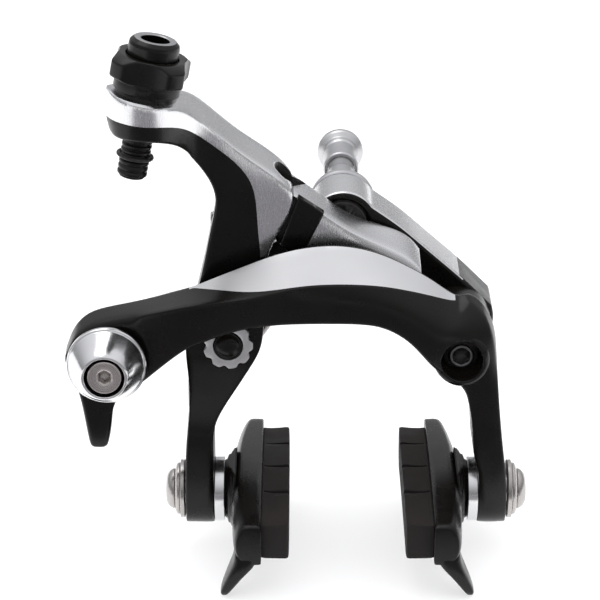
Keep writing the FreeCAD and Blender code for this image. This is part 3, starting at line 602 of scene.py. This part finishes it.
def left_arm():
    """Ring of a station: top rear, top front, plating edge, low front swell, low front, low rear."""
    rows = [
        # (x, y, z) top rear, top front, plating edge, low front, low rear
        ((-47.5, -33.6, 35.7), (-47.6, -36.2, 35.9), (-47.7, -36.2, 29.7),
         (-47.1, -36.0, 27.0), (-47.0, -33.8, 27.0)),
        ((-46.2, -30.6, 35.3), (-46.3, -39.8, 35.5), (-46.4, -39.9, 29.9),
         (-46.0, -39.6, 26.2), (-45.9, -30.8, 25.8)),
        ((-43.3, -28.0, 34.6), (-43.2, -42.4, 34.9), (-43.2, -42.5, 29.7),
         (-43.0, -42.3, 26.3), (-43.0, -28.0, 24.4)),
        ((-39.8, -25.0, 33.8), (-39.8, -43.0, 34.2), (-39.8, -43.1, 29.3),
         (-39.6, -42.9, 26.1), (-39.6, -24.0, 23.2)),
        ((-36.4, -21.0, 31.8), (-36.0, -41.8, 33.5), (-36.0, -41.9, 29.1),
         (-36.0, -41.6, 25.6), (-36.4, -20.0, 21.2)),
        ((-33.4, -18.6, 30.4), (-33.4, -37.6, 32.0), (-33.5, -37.8, 27.9),
         (-33.6, -37.4, 23.8), (-34.6, -17.8, 19.8)),
        ((-30.8, -18.0, 29.4), (-30.8, -33.2, 29.6), (-31.0, -33.4, 25.9),
         (-31.6, -33.2, 20.9), (-32.8, -17.4, 18.4)),
        ((-27.2, -18.0, 26.4), (-27.0, -31.0, 25.8), (-27.6, -31.3, 22.9),
         (-29.6, -31.0, 17.8), (-31.2, -17.3, 16.2)),
        ((-21.8, -18.0, 21.6), (-21.6, -30.7, 20.8), (-23.4, -31.1, 19.8),
         (-27.2, -30.8, 14.2), (-28.8, -17.3, 13.2)),
        ((-15.4, -18.0, 17.6), (-14.8, -30.5, 16.1), (-20.2, -31.1, 16.5),
         (-26.2, -30.8, 10.8), (-27.6, -17.3, 10.6)),
        ((-10.6, -18.0, 13.5), (-9.8, -30.4, 12.4), (-18.6, -31.1, 12.6),
         (-26.6, -30.8, 7.8), (-27.9, -17.3, 8.0)),
        ((-10.4, -18.4, 9.0), (-10.5, -30.5, 8.2), (-18.1, -31.1, 7.4),
         (-27.4, -30.8, 4.2), (-28.5, -17.3, 4.6)),
        ((-13.6, -19.0, 2.4), (-13.0, -30.6, 3.4), (-17.6, -31.1, 2.6),
         (-28.2, -30.8, 0.2), (-29.2, -17.3, 0.6)),
        ((-16.2, -18.0, -3.0), (-15.9, -30.6, -1.6), (-16.7, -31.1, -1.5),
         (-29.0, -30.8, -3.8), (-29.9, -17.3, -3.6)),
        ((-16.6, -17.6, -9.0), (-16.4, -30.7, -7.6), (-17.4, -31.0, -7.6),
         (-30.3, -30.8, -9.4), (-31.0, -17.3, -9.4)),
        ((-16.6, -17.6, -15.4), (-16.4, -30.7, -15.0), (-17.4, -31.0, -15.0),
         (-31.8, -30.8, -15.4), (-32.2, -17.3, -15.4)),
        ((-16.9, -17.6, -21.6), (-16.8, -30.7, -21.8), (-17.8, -31.0, -21.8),
         (-33.0, -30.8, -20.8), (-33.2, -17.3, -20.6)),
        ((-18.7, -18.2, -25.0), (-18.6, -31.0, -25.2), (-19.4, -31.4, -25.4),
         (-33.0, -31.2, -24.4), (-33.2, -17.8, -24.4)),
        ((-22.6, -21.8, -30.0), (-22.6, -34.0, -30.4), (-23.2, -34.8, -30.6),
         (-32.0, -34.2, -29.4), (-32.2, -22.4, -29.4)),
        ((-26.9, -25.8, -35.2), (-26.9, -38.6, -35.4), (-27.4, -39.4, -35.6),
         (-32.0, -39.2, -34.6), (-32.2, -26.0, -34.4)),
        ((-27.0, -25.9, -40.0), (-27.0, -39.4, -40.0), (-27.6, -40.1, -40.0),
         (-32.7, -40.0, -39.6), (-32.8, -26.0, -39.4)),
        ((-27.0, -25.9, -47.0), (-27.0, -39.4, -47.0), (-27.6, -40.1, -47.0),
         (-33.0, -40.0, -47.0), (-33.05, -26.0, -47.0)),
        ((-27.0, -25.9, -52.6), (-27.0, -39.4, -52.6), (-27.6, -40.1, -52.6),
         (-33.0, -40.0, -52.6), (-33.05, -26.0, -52.6)),
        ((-27.0, -26.8, -56.8), (-27.0, -38.6, -56.8), (-27.6, -39.2, -56.8),
         (-33.0, -39.1, -56.8), (-33.05, -26.9, -56.8)),
        ((-27.0, -29.6, -59.3), (-27.0, -36.1, -59.3), (-27.6, -36.6, -59.3),
         (-33.0, -36.4, -59.3), (-33.05, -29.6, -59.3)),
        ((-27.2, -32.0, -60.1), (-27.2, -34.0, -60.1), (-27.7, -34.2, -60.1),
         (-32.9, -34.1, -60.1), (-32.9, -32.0, -60.1))]
    stations = []
    for row in rows:
        rear_top, front_top, plating, low_front, low_rear = (Vector(point) for point in row)
        if -26 < low_rear.z and plating.z < 28:
            low_rear.x = max(low_rear.x, low_front.x + 0.4)
        stations.append([rear_top, front_top, plating, plating.lerp(low_front, 0.45), low_front, low_rear])
    silver_rows = 13

    def paint(i, j):
        return int(j == 1 and i < silver_rows or j == 0 and i < 10)

    def sharp(i, j):
        if i < 0:
            return 1.0
        if j == 1:
            return 0.5
        if j == 0:
            return 0.7
        if j == 2:
            return 0.35 if i < silver_rows + 1 else 0.2
        if j == 4:
            return 0.35 if i < 6 else 0.8
        if j == 5:
            return 0.8
        return 0.0
    main = ribbon("left_arm_main", stations, [BLACK, ALLOY], paint, sharp, 3, 0.3)
    seat = lathe("screw_seat", [(0, 0), (1.9, 0), (1.9, 9.0), (0, 9.0)], (-36, -23, 3.4), RIGHT, [BLACK])
    return carve(main, seat)


def top_slot():
    """Cutter for the slot in the top of the arm, between its end and the nose of the extension."""
    spots = [(-14.3, -24.3), (-13.6, -21.8), (-12.5, -21.0), (-11.3, -20.6), (-9.8, -19.8), (-8.3, -18.9),
             (-8.1, -19.7), (-9.5, -22.9), (-10.7, -25.5), (-11.6, -27.4), (-12.2, -28.2), (-12.9, -28.0),
             (-13.7, -27.2), (-14.3, -26.1)]
    outline = flat_spline(spots, 4, True)
    count = len(outline)
    verts = [(x, y, 21.0) for x, y in outline] + [(x, y, 13.2 - 0.97 * (x + 14.3)) for x, y in outline]
    faces = [tuple(range(count)), tuple(range(2 * count - 1, count - 1, -1))]
    faces += [(k, count + k, count + (k + 1) % count, (k + 1) % count) for k in range(count)]
    cutter = piece("top_slot", verts, faces, [BLACK], smooth=False)
    outward(cutter, merge=1e-7)
    return cutter


def link_extension():
    """Ring of a station: top rear, top front, front low, rear low."""
    rows = [
        ((-13.6, -18.2, 14.2), (-11.4, -29.0, 11.5), (-14.5, -29.4, 1.8), (-16.0, -18.2, 0.0)),
        ((-9.0, -18.0, 11.0), (-8.2, -29.4, 9.6), (-12.8, -29.6, -0.4), (-13.4, -17.6, -2.6)),
        ((-2.7, -17.8, 6.1), (-4.3, -29.8, 7.2), (-9.8, -30.4, -2.8), (-9.6, -17.4, -5.0)),
        ((1.3, -17.6, 3.0), (0.5, -29.4, 3.5), (-3.4, -30.4, -5.6), (-3.4, -17.4, -7.6)),
        ((5.6, -17.5, 1.5), (5.2, -28.6, 0.9), (5.0, -30.2, -6.8), (4.6, -17.4, -8.6)),
        ((10.2, -17.5, 0.1), (10.2, -28.2, -1.3), (10.2, -30.2, -7.6), (10.2, -17.4, -9.0)),
        ((13.8, -17.6, -1.8), (13.8, -28.4, -3.2), (13.8, -30.2, -8.4), (13.8, -17.5, -9.2)),
        ((15.9, -18.2, -4.4), (15.9, -28.8, -5.4), (15.9, -30.0, -8.8), (15.9, -18.0, -9.2))]
    stations = [[Vector(p) for p in row] for row in rows]

    def sharp(i, j):
        if i < 0:
            return 1.0
        return (0.8, 0.6, 0.6, 0.8)[j]
    return ribbon("link_extension", stations, [ALLOY, BLACK], lambda i, j: int(j in (1, 2) and i < 2),
                  sharp, 3, 0.25)


def rear_arm():
    arm = join("rear_arm_body", [carve(left_arm(), top_slot()), carve(link_extension(), top_slot())])
    finish_piece(arm, "rear_arm", "bright_alloy", "left_arm")


# ---- bracket and mounting


def bracket():
    """Bridge between the pivots, bright alloy: its boss and the top of its right strut stay bright, the rest
    is painted black as shade and dark reflection.
    """
    upper = flat_spline([(6.0, 3.9), (12.2, -0.6), (18.6, -6.2), (24.6, -11.5), (29.0, -15.8),
                         (31.5, -18.3)], 6)
    eye_right = arc_points((31.5, -18.3), (28.0, -27.93), (16.5, -23.7), 24)
    arch = flat_spline([(16.5, -23.7), (10.5, -14.8), (0.0, -10.2), (-10.5, -14.8), (-16.5, -23.7)], 8)
    eye_left = arc_points((-16.5, -23.7), (-28.0, -27.93), (-31.5, -18.3), 24)
    rise = flat_spline([(-31.5, -18.3), (-26.2, -12.4), (-18.8, -6.8), (-7.0, 1.5)], 8)
    crown = arc_points((-7.0, 1.5), (0.0, 7.16), (6.0, 3.9), 32)
    outline = [point for run in (upper, eye_right, arch, eye_left, rise, crown) for point in run[:-1]]
    plate = extruded("bridge_plate", [outline, circle(0, 0, 5.2)], 13.0, 0.9,
                     Matrix.Translation((0, -9.9, 0)) @ FRONT.to_4x4(), [ALLOY, BLACK])
    # Faces past these bounds are painted black as shade and dark reflection
    boss, bore, painted_shade_from_x, painted_shade_below_z = 7.1, 5.4, 25, -10

    def paint(spot, normal):
        """Painted shade and dark reflection: black on front and rear outside the boss, in the bore, on the
        strut's end and underneath.
        """
        out = math.hypot(spot.x, spot.z)
        return int(normal.y < -0.75 or normal.y > 0.75 and out > boss or out < bore or spot.x > painted_shade_from_x
                   or spot.z < painted_shade_below_z and normal.z < 0.2)
    repaint(plate, paint)
    post = lathe("right_post", filleted([(3.05, 0), (7.2, 0), (7.2, 16.4), (3.05, 16.4)], 0.5),
                 (PIVOT_X, -15.4, PIVOT_Z), FRONT, [BLACK])
    finish_piece(join("bracket_body", [plate, post]), "bracket", "bright_alloy", "bracket_bridge")


def mounting_hardware():
    """Mounting bolt with a socket head in the bridge, sleeve nut and washers behind."""
    thread_start, pitch = 32.4, 1.0
    threads = []
    for k in range(14):
        crest = thread_start + k * pitch
        threads += [(3.0, crest), (2.62, crest + pitch / 2)]
    bolt = lathe("mounting_bolt_body",
                 [(0, 2.2), hexagon(5, 2.2), hexagon(5, 0.25), (2.9, 0)] + filleted(
                     [(2.9, 0, 0), (5.0, 0, 0.5), (5.0, 3.2, 0.2), (3.95, 3.2), (3.95, 14.4, 0.4),
                      (3.0, 15.4)], closed=False)
                 + [(3.0, 31.6)] + threads + [(2.4, 46.6), (0, 46.8)],
                 (0, -16.4, 0), REAR, [BLACK_STEEL, BRIGHT], lambda i: 0 if i < 12 else 1)
    nut = lathe("sleeve_nut_body", filleted(
        [(3.0, 0, 0.1), (3.65, 0), (3.95, 0.4), (3.95, 7.8), (3.6, 8.3), (3.6, 9.3), (3.95, 9.8),
         (4.0, 11.2, 0.6), (4.9, 12.0, 0.5), (5.15, 12.5), (5.15, 13.6, 0.35), (4.7, 14.0), (3.1, 14.0),
         (2.5, 13.4), (2.5, 8.0), (3.0, 7.6)], 0.22), (0, 20.4, 0), REAR, [BRIGHT])
    washer = lathe("fork_washer_body", filleted(
        [(3.1, 0), (6.6, 0, 0.3), (7.0, 0.4), (7.0, 1.6, 0.3), (6.7, 2.0), (3.1, 2.0)], 0.15),
        (0, -2.0, 0), REAR, [BRIGHT])
    finish_piece(bolt, "bracket", "steel", "mounting_bolt")
    finish_piece(nut, "bracket", "steel", "recessed_nut")
    finish_piece(washer, "bracket", "steel", "fork_washer")


def pivot_hardware():
    """Lock ring with a domed cap at the left pivot, socket bolt in the right pivot's dish."""
    def scallops(angle):
        return lobed_radius(angle, 9, 4.5, 5.15, 0.45)

    def ring_edge(inset, height):
        return lambda angle: (eased(scallops, angle, 0.06) - inset, height)
    ring = lathe("lock_ring_body",
                 [(3.08, 0.0), ring_edge(0.1, 0.0), ring_edge(0, 0.12), ring_edge(0, 1.3),
                  ring_edge(0.06, 1.44), ring_edge(0.2, 1.5), (3.3, 1.5), (3.12, 1.42), (3.08, 1.3)],
                 (-PIVOT_X, -30.95, PIVOT_Z), FRONT, [SATIN], steps=216)
    cap = lathe("pivot_cap_body",
                [(0, 0), (2.95, 0), (2.98, 1.3), (2.92, 1.5), (2.78, 1.58), (2.6, 1.56), (2.5, 1.62),
                 (2.3, 1.95), (1.8, 2.3), (1.0, 2.52), (0, 2.6)], (-PIVOT_X, -30.8, PIVOT_Z), FRONT, [BLACK])
    # The head's ring takes the darkened alloy, a painted shade of the dish it sits in
    bolt = lathe("right_pivot_bolt_body",
                 [(0, 28.9), hexagon(3.1, 28.9), hexagon(3.1, 30.5), (1.85, 30.8), (2.0, 30.88), (2.3, 30.88),
                  (2.48, 30.7), (2.52, 30.3), (2.55, 29.4), (2.8, 29.2), (3.4, 29.1), (3.65, 28.9),
                  (3.7, 28.6), (3.7, 27.9), (3.0, 27.9), (3.0, 0.2), (2.8, 0), (0, 0)],
                 (PIVOT_X, -7.2, PIVOT_Z), FRONT, [BLACK_STEEL, DISH_SHADE_ALLOY], lambda i: int(2 <= i < 7))
    finish_piece(ring, "bracket", "satin_alloy", "left_lock_ring")
    finish_piece(cap, "bracket", "black_steel", "left_pivot_cap")
    finish_piece(bolt, "bracket", "black_steel", "right_pivot_bolt")


# ---- barrel adjuster

BARREL_FOOT = (-39.9, -35, 33.5)
LEAN = Matrix.Rotation(math.radians(10.7), 3, "Y")


def knob():
    """Four-lobed adjusting nut with a stepped collar; heights are above the arm's boss."""
    def lobes(angle):
        return lobed_radius(angle, 4, 6.75, 8.9, 0.72, math.radians(40))

    def edge(angle):
        return eased(lobes, angle, 0.05)

    def top_row(inset, drop):
        def row(angle):
            radius = edge(angle) - inset
            return (radius, 8.8 - 0.62 * max(0, radius - 7.05) - drop)
        return row

    def low_row(inset, rise):
        def row(angle):
            radius = edge(angle) - inset
            return (radius, 3.9 + 0.5 * max(0, radius - 7.6) + rise)
        return row
    rows = [(3.15, 0.2), (5.9, 0.2), (6.15, 0.3), (6.25, 0.5), (6.3, 1.3), (6.4, 1.45), (6.65, 1.52),
            (6.78, 1.65), (6.82, 1.9), lambda angle: (min(6.82, edge(angle) - 0.12), 3.4),
            lambda angle: (min(6.75, edge(angle) - 0.25), 3.75), low_row(0.22, -0.02), low_row(0.06, 0.08),
            low_row(0, 0.3), top_row(0, 0.34), top_row(0.06, 0.12), top_row(0.22, 0.02),
            lambda angle: (min(7.1, edge(angle) - 0.35), 8.8), (5.6, 8.8), (5.42, 8.72), (5.36, 8.5),
            (5.3, 7.1), (3.15, 7.1)]
    made = lathe("adjuster_knob_body", rows, BARREL_FOOT, LEAN, [BLACK], steps=240)
    finish_piece(made, "adjuster_knob", "black_alloy", "adjuster_knob")


def barrel():
    """Hollow threaded barrel with a bright rim, and the wire ring near its lower end."""
    thread = []
    height, foot, pitch = -8.6, -16.0, 1.16
    while height > foot:
        thread += [(3.02, height), (3.05, height - 0.12), (3.05, height - 0.5), (3.0, height - 0.62),
                   (2.62, height - 0.8), (2.62, height - 0.96)]
        height -= pitch
    rows = filleted([(2.9, -0.4), (2.9, 12.0), (3.1, 12.2, 0.08), (4.25, 12.2, 0.15), (5.0, 11.5, 0.3),
                     (5.15, 10.9, 0.3), (5.15, 7.7, 0.2), (4.9, 7.4), (3.05, 7.4)], 0.12)[:-2]
    rows += [(3.05, 7.3)] + thread + [(2.8, -16.3), (2.5, -16.75), (1.25, -16.8), (1.2, -1.5), (2.15, -1.4)]
    body = lathe("adjuster_barrel_body", rows, BARREL_FOOT, LEAN, [BLACK, RIM], lambda i: int(8 <= i < 17))
    ring = lathe("stop_ring_body", circle(3.42, -12.3, 0.4, 16), BARREL_FOOT, LEAN, [BLACK_STEEL])
    finish_piece(body, "adjuster_barrel", "black_alloy", "adjuster_barrel")
    finish_piece(ring, "adjuster_barrel", "black_steel", "barrel_stop_ring")


# ---- cable anchor


def cable_anchor():
    """Polished conical cap, its turned screw and the quick-release lever."""
    dome = [(7.62, 1.62), (7.2, 2.7), (6.5, 4.4), (5.75, 6.1), (5.1, 7.3), (4.75, 7.8)]
    foot = (ANCHOR_X, ANCHOR_FACE, PIVOT_Z)
    rim = [(6.1, 0), (7.85, 0), (8.15, 0.3), (8.15, 1.05), (7.95, 1.35), (7.72, 1.4)]
    rows = filleted(rim, 0.15, closed=False) + flat_spline(dome, 6)
    rows += [(4.5, 7.98), (4.3, 8.0), (4.15, 7.9), (4.1, 7.7), (4.1, 3.4), (2.5, 3.4), (2.5, 1.1), (6.1, 1.1)]
    cap = lathe("quick_release_cap_body", rows, foot, FRONT, [CAP_ALLOY])
    screw = lathe("anchor_screw_body",
                  [(0, 5.2), hexagon(2.5, 5.2), hexagon(2.5, 7.2), (1.62, 7.42), (1.8, 7.48), (3.1, 7.7),
                   (3.32, 7.66), (3.46, 7.5), (3.5, 7.2), (3.5, 3.5), (2.45, 3.5), (2.45, 0), (0, 0)],
                  foot, FRONT, [turned_face("turned_screw_face", foot, (0, 1, 0))])
    finish_piece(cap, "quick_release", "bright_alloy", "quick_release_cap")
    finish_piece(screw, "quick_release", "brushed", "cable_anchor_screw")
    # (height below the pivot, left edge, right edge, back, front) of the handle
    rows = [(2.0, -6.6, 6.0, 39.7, 41.7), (5.5, -6.4, 4.2, 39.6, 41.8), (8.4, -5.7, 1.9, 39.5, 41.9),
            (10.4, -5.3, 1.1, 39.4, 42.1), (13.0, -4.9, 0.9, 39.4, 42.2), (15.6, -4.5, 0.55, 39.5, 42.1),
            (17.4, -4.2, 0.15, 39.7, 41.9), (18.6, -3.9, -0.2, 39.9, 41.6), (18.9, -3.4, -0.7, 40.2, 41.3)]
    stations = []
    for low, left, right, back, front in rows:
        middle, half = (back + front) / 2, (front - back) / 2
        ring = [(left, middle), (left + 0.5, middle + half), (right - 0.5, middle + half), (right, middle),
                (right - 0.5, middle - half), (left + 0.5, middle - half)]
        stations.append([Vector((ANCHOR_X + x, -depth, PIVOT_Z - low)) for x, depth in ring])
    handle = ribbon("lever_handle", stations, [BLACK], plain, lambda i, j: 0.3 if i < 0 else 0.25, 3, 0.1)
    hub = lathe("lever_hub", filleted([(4.5, 0), (7.0, 0), (7.25, 0.3), (7.25, 2.0), (7.0, 2.3), (4.5, 2.3)]),
                (ANCHOR_X, -39.5, PIVOT_Z), FRONT, [BLACK])
    finish_piece(join("quick_release_lever_body", [handle, hub]), "quick_release", "black_alloy",
                 "quick_release_lever")


# ---- centring screw and link cover


def centring_screw():
    """Small socket screw sunk in the outer side of the rear arm."""
    made = lathe("centring_screw_body",
                 [(0, 1.5), hexagon(1.8, 1.5), hexagon(1.8, 0.15), (1.15, 0.0), (1.55, 0), (1.7, 0.15),
                  (1.75, 0.4), (1.75, 1.4), (1.5, 1.6), (1.5, 5.4), (0, 5.4)],
                 (-27.6, -23, 3.4), RIGHT, [STEEL])
    finish_piece(made, "centring_screw", "steel", "centring_screw")


def link_cover():
    """Dark plate over the joint between the blade and the link extension."""
    corners = [(-9.4, 11.0), (-4.2, 7.5), (-8.6, -1.2), (-13.2, 0.6)]
    made = extruded("link_cover_body", [corners], 2.4, 0.35,
                    Matrix.Translation((0, -29.6, 0)) @ FRONT.to_4x4(), [BLACK])
    finish_piece(made, "rear_arm", "plastic", "link_cover")


# ---- brake shoes


def shoe_point(name, inward, offset, along):
    """World place of a point: inward of the leg's face, above the middle arc, along the rim."""
    angle = along / RIM_RADIUS
    return Vector((LEG_INSIDE[name] - SIDE[name] * inward, SHOE_Y + (RIM_RADIUS + offset) * math.sin(angle),
                   SHOE_Z - RIM_RADIUS + (RIM_RADIUS + offset) * math.cos(angle)))


def shoe_holder(name):
    """Banana-shaped carrier that follows the rim, its round boss and the splayed rim guide."""
    # (along the rim, outer face, half height)
    rows = [(-26.0, 4.9, 4.3), (-25.2, 4.4, 4.8), (-22.0, 4.1, 5.0), (-17.0, 3.9, 5.3), (-11.0, 3.6, 5.8),
            (-5.0, 3.45, 6.0), (5.0, 3.45, 6.1), (11.0, 3.6, 6.1), (17.0, 4.0, 6.0), (22.0, 4.5, 5.9),
            (26.2, 4.9, 5.7), (27.2, 5.4, 5.2)]
    stations = []
    for along, outer, half in rows:
        section = [(10.0, half - 0.1), (outer + 1.9, half), (outer + 0.25, 0.55 * half), (outer, 0),
                   (outer + 0.25, -0.55 * half), (outer + 1.9, -half), (10.0, 0.1 - half)]
        stations.append([shoe_point(name, inward, offset, along) for inward, offset in section])

    def sharp(i, j):
        if i < 0:
            return 0.7
        return 0.85 if j in (0, 6) else (0.35 if j in (1, 5) else 0.0)
    shell = ribbon(name + "_shell", stations, [BLACK], plain, sharp, 3, 0.2)

    def boss_row(radius, inward):
        return lambda angle: (min(radius, 6.3 / max(abs(math.cos(angle)), 0.01)), inward)
    boss = lathe(name + "_boss", [
        (3.06, 2.15), (5.9, 2.15), boss_row(6.1, 2.3), boss_row(6.2, 2.6), boss_row(6.7, 2.75),
        boss_row(7.2, 2.9), boss_row(7.4, 3.3), boss_row(8.2, 3.55), boss_row(9.2, 3.9), boss_row(9.6, 4.6),
        (3.06, 4.6)], (LEG_INSIDE[name], SHOE_Y, SHOE_Z), INWARD[name], [BLACK])
    # (height, outer and inner face, front and back depth) of the rim guide
    guide_rows = [(-56.4, 4.6, 9.6, 58.6, 49.5), (-58.8, 4.2, 9.1, 58.9, 50.0), (-60.6, 3.4, 7.2, 58.9, 50.8),
                  (-63.0, 2.3, 5.2, 58.5, 52.4), (-65.2, 1.5, 3.6, 57.8, 54.2), (-66.0, 1.9, 2.9, 57.0, 55.2)]
    stations = []
    for height, outer, inner, front, back in guide_rows:
        ring = [(outer, front), (inner, front), (inner, back), (outer, back)]
        stations.append([Vector((LEG_INSIDE[name] - SIDE[name] * inward, -depth, height))
                         for inward, depth in ring])
    guide = ribbon(name + "_guide", stations, [BLACK], plain, lambda i, j: 0.35, 3, 0.12)
    made = join(name + "_holder_body", [shell, boss, guide])
    finish_piece(made, name + "_shoe", "black_alloy", name + "_shoe_holder")


def brake_pad(name):
    """Rubber block with a hollowed upper edge and short wedge-shaped grooves from the rim's side."""
    stations = []
    for along in (-24.0, -23.4, -18.0, -12.0, -6.0, 0.0, 6.0, 12.0, 18.0, 24.8, 25.4):
        ease = 0.35 if along in (-24.0, 25.4) else 0.0
        section = [(9.9, 4.15 - ease), (10.9, 3.95 - ease), (13.2, 4.0 - ease), (15.7 - ease, 4.3 - ease),
                   (15.7 - ease, -4.3 + ease), (12.6, -4.2 + ease), (9.9, -4.15 + ease)]
        stations.append([shoe_point(name, inward, offset, along) for inward, offset in section])

    def sharp(i, j):
        if i < 0:
            return 0.9
        return 0.95 if j in (0, 3, 4, 6) else 0.0
    made = ribbon(name + "_pad_body", stations, [RUBBER], plain, sharp, 2, 0.15)
    for k, along in enumerate((14.8, 2.4, -10.0)):
        wedge = []
        for inward, half, slant in ((10.4, 0.1, 0.0), (16.4, 0.6, -0.5)):
            for offset in (2.2, 5.6):
                for step in (-half, half):
                    wedge.append(shoe_point(name, inward, offset, along + step + slant))
        cutter = piece("%s_groove_%d" % (name, k), wedge,
                       [(0, 1, 3, 2), (4, 6, 7, 5), (0, 4, 5, 1), (2, 3, 7, 6), (0, 2, 6, 4), (1, 5, 7, 3)],
                       [RUBBER], smooth=False)
        outward(cutter)
        carve(made, cutter)
    weight_normals(made)
    finish_piece(made, name + "_shoe", "rubber", name + "_brake_pad")


def shoe_fixing(name):
    """Domed socket bolt, two washers outside the leg and the spacer inside it."""
    head = (LEG_OUTSIDE[name], SHOE_Y, SHOE_Z)
    end = (LEG_OUTSIDE[name] - SIDE[name] * 11.1, SHOE_Y, SHOE_Z)
    out = OUTWARD[name]
    bolt = lathe(name + "_bolt_body",
                 [(0, 13.0), hexagon(3.2, 13.0), hexagon(3.2, 14.95), (1.95, 15.15), (2.3, 15.2), (2.9, 15.05),
                  (3.5, 14.72), (3.95, 14.25), (4.2, 13.8), (4.22, 13.5), (4.1, 13.32), (3.0, 13.3),
                  (3.0, 0.2), (2.8, 0), (0, 0)], end, out, [STEEL])
    flat = lathe(name + "_flat_washer_body",
                 filleted([(3.1, 0.1), (6.1, 0.1), (6.1, 1.1), (3.1, 1.1)], 0.25), head, out, [STEEL])
    cup = lathe(name + "_cup_washer_body",
                filleted([(3.1, 1.15), (5.5, 1.15), (5.4, 1.75), (4.7, 2.15), (3.1, 2.15)], 0.25),
                head, out, [STEEL])
    spacer = lathe(name + "_spacer_body",
                   filleted([(3.1, 0.05), (6.75, 0.05), (6.75, 2.1), (3.1, 2.1)], 0.15),
                   (LEG_INSIDE[name], SHOE_Y, SHOE_Z), INWARD[name], [SPACER])
    for made, slot, node in ((bolt, "steel", "_shoe_bolt"), (flat, "steel", "_flat_washer"),
                             (cup, "steel", "_cup_washer"), (spacer, "satin_alloy", "_spacer")):
        finish_piece(made, name + "_shoe_clamp", slot, name + node)


# ---- camera, floor and light


def camera():
    """The view of the reference: from in front, 21 degrees above level."""
    data = bpy.data.cameras.new("camera")
    data.sensor_width = 36.0
    data.lens = 167.4
    data.clip_start = 0.01
    eye = bpy.data.objects.new("camera", data)
    eye.location = (-0.0091, -0.5679, 0.1948)
    eye.rotation_euler = (math.radians(69), 0, 0)
    scene.collection.objects.link(eye)
    scene.camera = eye


def floor():
    """Plain pale floor just under the lowest fin."""
    level = CAD_BOX[0][2] / MM - 0.3
    reach = 6000.0
    verts = [(-reach, -reach, level), (reach, -reach, level), (reach, reach, level), (-reach, reach, level)]
    made = piece("floor", verts, [(0, 1, 2, 3)], [], smooth=False)
    paper = Shader("floor_paper", 0.9)
    paper.tint(paper.spread(paper.noise(3, 2), 0, 1), (0.92, 0.92, 0.92), (0.94, 0.94, 0.94))
    made.data.materials.append(paper.material)


def light(name, kind, power, location):
    data = bpy.data.lights.new(name, kind)
    data.energy = power
    lamp = bpy.data.objects.new(name, data)
    lamp.location = location
    scene.collection.objects.link(lamp)
    return lamp


def sky():
    """A white dome, dimmer towards the horizon."""
    world = bpy.data.worlds.new("studio")
    world.use_nodes = True
    tree = world.node_tree
    place = tree.nodes.new("ShaderNodeTexCoord")
    tilt = tree.nodes.new("ShaderNodeVectorMath")
    tilt.operation = "DOT_PRODUCT"
    tilt.inputs[1].default_value = (0.0, 0.10, 0.95)
    tree.links.new(place.outputs["Generated"], tilt.inputs[0])
    level = tree.nodes.new("ShaderNodeMapRange")
    level.interpolation_type = "SMOOTHSTEP"
    for socket, value in (("From Min", -0.2), ("From Max", 0.85), ("To Min", 0.16), ("To Max", 0.86)):
        level.inputs[socket].default_value = value
    tree.links.new(tilt.outputs["Value"], level.inputs["Value"])
    tree.links.new(level.outputs[0], tree.nodes["Background"].inputs["Strength"])
    tree.nodes["Background"].inputs["Color"].default_value = (0.97, 0.975, 1.0, 1)
    scene.world = world


def flag():
    """A dark card on the floor in front, outside the picture, that the front faces reflect."""
    level = CAD_BOX[0][2] / MM - 0.1
    verts = [(-420, -900, level), (420, -900, level), (170, -76, level), (-170, -76, level)]
    made = piece("dark_card", verts, [(0, 1, 2, 3)], [], smooth=False)
    card = Shader("dark_card", 0.9)
    card.tint(card.spread(card.noise(4, 2), 0, 1), (0.13, 0.125, 0.135), (0.20, 0.19, 0.20))
    made.data.materials.append(card.material)
    made.visible_camera = False
    made.visible_shadow = False
    made.visible_diffuse = False


def studio():
    """A white dome, a dark card in front, a soft lamp above and a sun for the floor."""
    scene.view_settings.view_transform = "Standard"
    sky()
    flag()
    above = light("top_light", "AREA", 0.7, (-0.16, 0.12, 0.60))
    above.data.shape = "RECTANGLE"
    above.data.size, above.data.size_y = 0.45, 0.35
    target = Vector((0, 0, -0.02))
    above.rotation_euler = (target - above.location).to_track_quat("-Z", "Y").to_euler()
    sun = light("floor_light", "SUN", 2.1, (0, 0, 1))
    sun.data.use_shadow = False
    sun.visible_glossy = False


front_arm()
rear_arm()
bracket()
mounting_hardware()
pivot_hardware()
knob()
barrel()
cable_anchor()
centring_screw()
link_cover()
for label in ("left", "right"):
    shoe_holder(label)
    brake_pad(label)
    shoe_fixing(label)

# CAD pieces that stay as they are, with their materials
for material, labels in (
        (BLACK_STEEL, ("serrated_washer", "quick_release_cam", "left_pad_screw", "right_pad_screw")),
        (STEEL, ("left_pivot_bolt", "return_spring", "roller_pin", "link_roller", "cable_clamp_plate")),
        (PLASTIC, ("left_thrust_washer", "spring_clip", "left_spring_seat", "right_spring_seat")),
        (BRONZE, ("left_pivot_bush", "right_pivot_bush"))):
    for label in labels:
        mesh = NODES[label].data
        mesh.materials.clear()
        mesh.materials.append(material)

camera()
floor()
studio()
